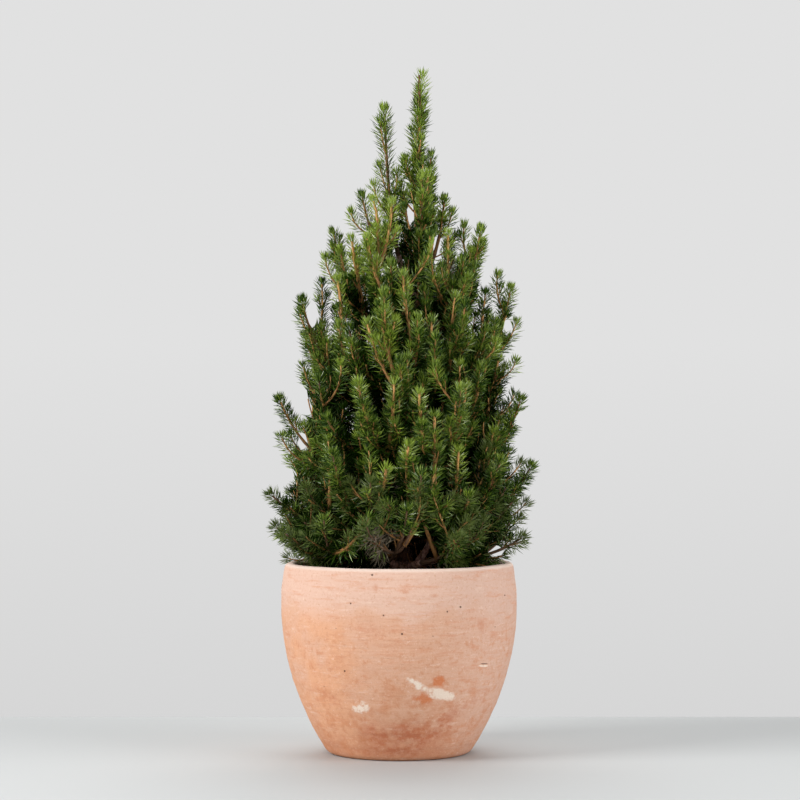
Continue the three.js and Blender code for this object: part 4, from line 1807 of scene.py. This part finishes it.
@dataclass(frozen=True)
class Soil:
    """The potting mix in the pot, with its rough top and what has fallen on it. Sizes are in mm."""

    pot: Pot
    top_height: float
    edge_height: float = 170
    clearance: float = 0.8
    litter_count: int = 900
    litter_half: float = 0.4  # half a fallen needle's width
    crumb: float = 9  # the size of its crumbs
    crumb_seed: int = 71

    def rise(self, radius: Array) -> Array:
        """The top's height: a smooth step up from the edge to half way in."""
        edge = self.edge()
        return self.edge_height + (self.top_height - self.edge_height) * ease(radius, edge, edge * 0.5)

    def edge(self) -> float:
        """The radius of the top's edge."""
        return float(self.pot.radius(self.edge_height)) - self.pot.wall - self.clearance

    def build(self, rng: Random) -> None:
        """Makes the soil and the fallen needles that lie on it.

        Args:
            rng: the source of the needles' places.
        """
        pot, floor = self.pot, self.pot.floor + self.clearance
        up = np.linspace(pot.floor + 14, self.edge_height, 16)
        side = np.stack([pot.radius(up) - pot.wall - self.clearance, up], axis=1)
        inward = np.linspace(self.edge() - 1, 3, 90)
        top = np.stack([inward, self.rise(inward)], axis=1)
        bottom = pot.foot_radius - pot.wall - 3
        base = [[0, floor], [bottom / 2, floor], [bottom, floor]]
        points, faces = revolved(np.concatenate([base, side, top, [[0, self.top_height]]]), 220)
        inner = np.linalg.norm(points[:, :2], axis=1) < self.edge()
        crumbs = rough(points, self.crumb, self.crumb_seed, 4) * 1.5 - 1.2
        points[:, 2] += crumbs * (inner & (points[:, 2] >= self.edge_height - 0.1))
        piece = mesh_object("potting_mix", points, faces, [PEAT.material()])
        finish_piece(piece, ("soil",))
        self.litter(rng)

    def litter(self, rng: Random) -> None:
        """Makes fallen needles, each a spindle that lies flat on the soil.

        Args:
            rng: the source of their places.
        """
        count = self.litter_count
        turn, out = rng.uniform(0, TURN, count), np.sqrt(rng.uniform(0.02, 1, count)) * (self.edge() - 7)
        middle = np.stack([out * np.cos(turn), out * np.sin(turn), np.zeros(count)], axis=1)
        middle[:, 2] = self.rise(out) + 0.2 + rough(middle, self.crumb, self.crumb_seed, 2) * 0.6
        way = rng.uniform(0, TURN, count)
        along = np.stack([np.cos(way), np.sin(way), rng.normal(0, 0.12, count)], axis=1)
        beside = np.cross(along, UP) * self.litter_half
        away = along * rng.uniform(3.5, 6, count)[:, None]
        points = np.stack([middle - away, middle - beside, middle + beside, middle + away], axis=1)
        points[:, 1:3, 2] += 0.5
        materials = [Finish("fallen_needle", "#8a6a42", 0.8).material(), Needle.DEEP.value.material()]
        green = (rng.uniform(0, 1, count) < 0.15).astype(int)
        finish_piece(spindles("fallen_needles", points, materials, green, smooth=True))


# ---- Stage -------------------------------------------------------------------------------


@dataclass(frozen=True)
class SoftLight:
    """A square soft light that points at the plant's middle. Lengths are in metres."""

    name: str
    place: Vector
    size: float
    power: float
    target: Vector = (0, 0, 0.35)

    def build(self) -> None:
        """Makes the light."""
        data = bpy.data.lights.new(self.name, "AREA")
        data.size, data.energy = self.size, self.power
        made = placed(self.name, data)
        made.location = self.place
        x, y, z = np.subtract(self.target, self.place)
        made.rotation_euler = (math.atan2(math.hypot(x, y), -z), 0, math.atan2(y, x) - math.pi / 2)


@dataclass(frozen=True)
class Studio:
    """The camera, the lights, the table and the backdrop. Lengths are in metres."""

    lens: float = 119.78  # mm, on a 36 mm sensor
    table_side: float = 1.5
    table_front: float = 1.4
    table_back: float = 0.298
    lights: tuple[SoftLight, ...] = (
        SoftLight("key", (-2.5, -1.25, 1.6), 1.3, 82),
        SoftLight("fill", (2.5, -1.2, 1.1), 1.8, 53),
        SoftLight("back", (0.0, 1.5, 2.3), 2.6, 60),
        SoftLight("front", (-0.6, -2.9, 1.5), 1.4, 15),
    )

    def build(self) -> None:
        """Sets up the whole stage."""
        self.camera()
        self.table()
        self.backdrop()
        for light in self.lights:
            light.build()
        bpy.context.scene.view_settings.view_transform = "Standard"

    def camera(self) -> None:
        """Makes the camera: level, in front of the plant."""
        data = bpy.data.cameras.new("camera")
        data.sensor_width, data.lens = 36, self.lens
        made = placed("camera", data)
        made.location = np.array(EYE) * MM
        made.rotation_euler = (math.pi / 2, 0, 0)
        bpy.context.scene.camera = made

    def table(self) -> None:
        """Makes the pale table top that the pot stands on."""
        x, front, back = self.table_side, -self.table_front, self.table_back
        corners = np.array([[-x, front, 0], [x, front, 0], [x, back, 0], [-x, back, 0]]) / MM
        mesh_object("table", corners, [np.array([[0, 1, 2, 3]])], [TABLE_PAINT.material()])

    def backdrop(self) -> None:
        """Makes the world: a pale grey that is a little brighter behind the plant's middle.

        The camera sees it at full strength, and it sheds a weaker white light on the plant.
        """
        world = bpy.context.scene.world = bpy.data.worlds.new("studio")
        graph = Graph(world)
        level = graph.add("SeparateXYZ", graph.add("TexCoord").outputs["Generated"]).outputs["Z"]
        share = graph.add("MapRange", level, -0.12, 0.02)
        shade = graph.add("Mix", share, linear("#d6d6d6"), linear("#e1e1e1"), data_type="RGBA")
        shed, seen = graph.add("Background", linear("#ffffff"), 0.25), graph.add("Background", shade)
        camera_ray = graph.add("LightPath").outputs["Is Camera Ray"]
        graph.add("OutputWorld", graph.add("MixShader", camera_ray, shed, seen))


# ---- The whole ---------------------------------------------------------------------------


def main() -> None:
    """Builds the pot, the soil, the tree and the stage."""
    logging.basicConfig(level=logging.INFO, format="%(message)s")
    low, high = box_of("pot")
    pot = Pot(height=high[2] - low[2], belly_radius=(high[0] - low[0]) / 2)
    pot.build()
    Soil(pot, top_height=box_of("soil")[1, 2]).build(np.random.default_rng(SEED))
    Spruce(pot, SEED).dress()
    Studio().build()
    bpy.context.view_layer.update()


if __name__ == "__main__":
    main()
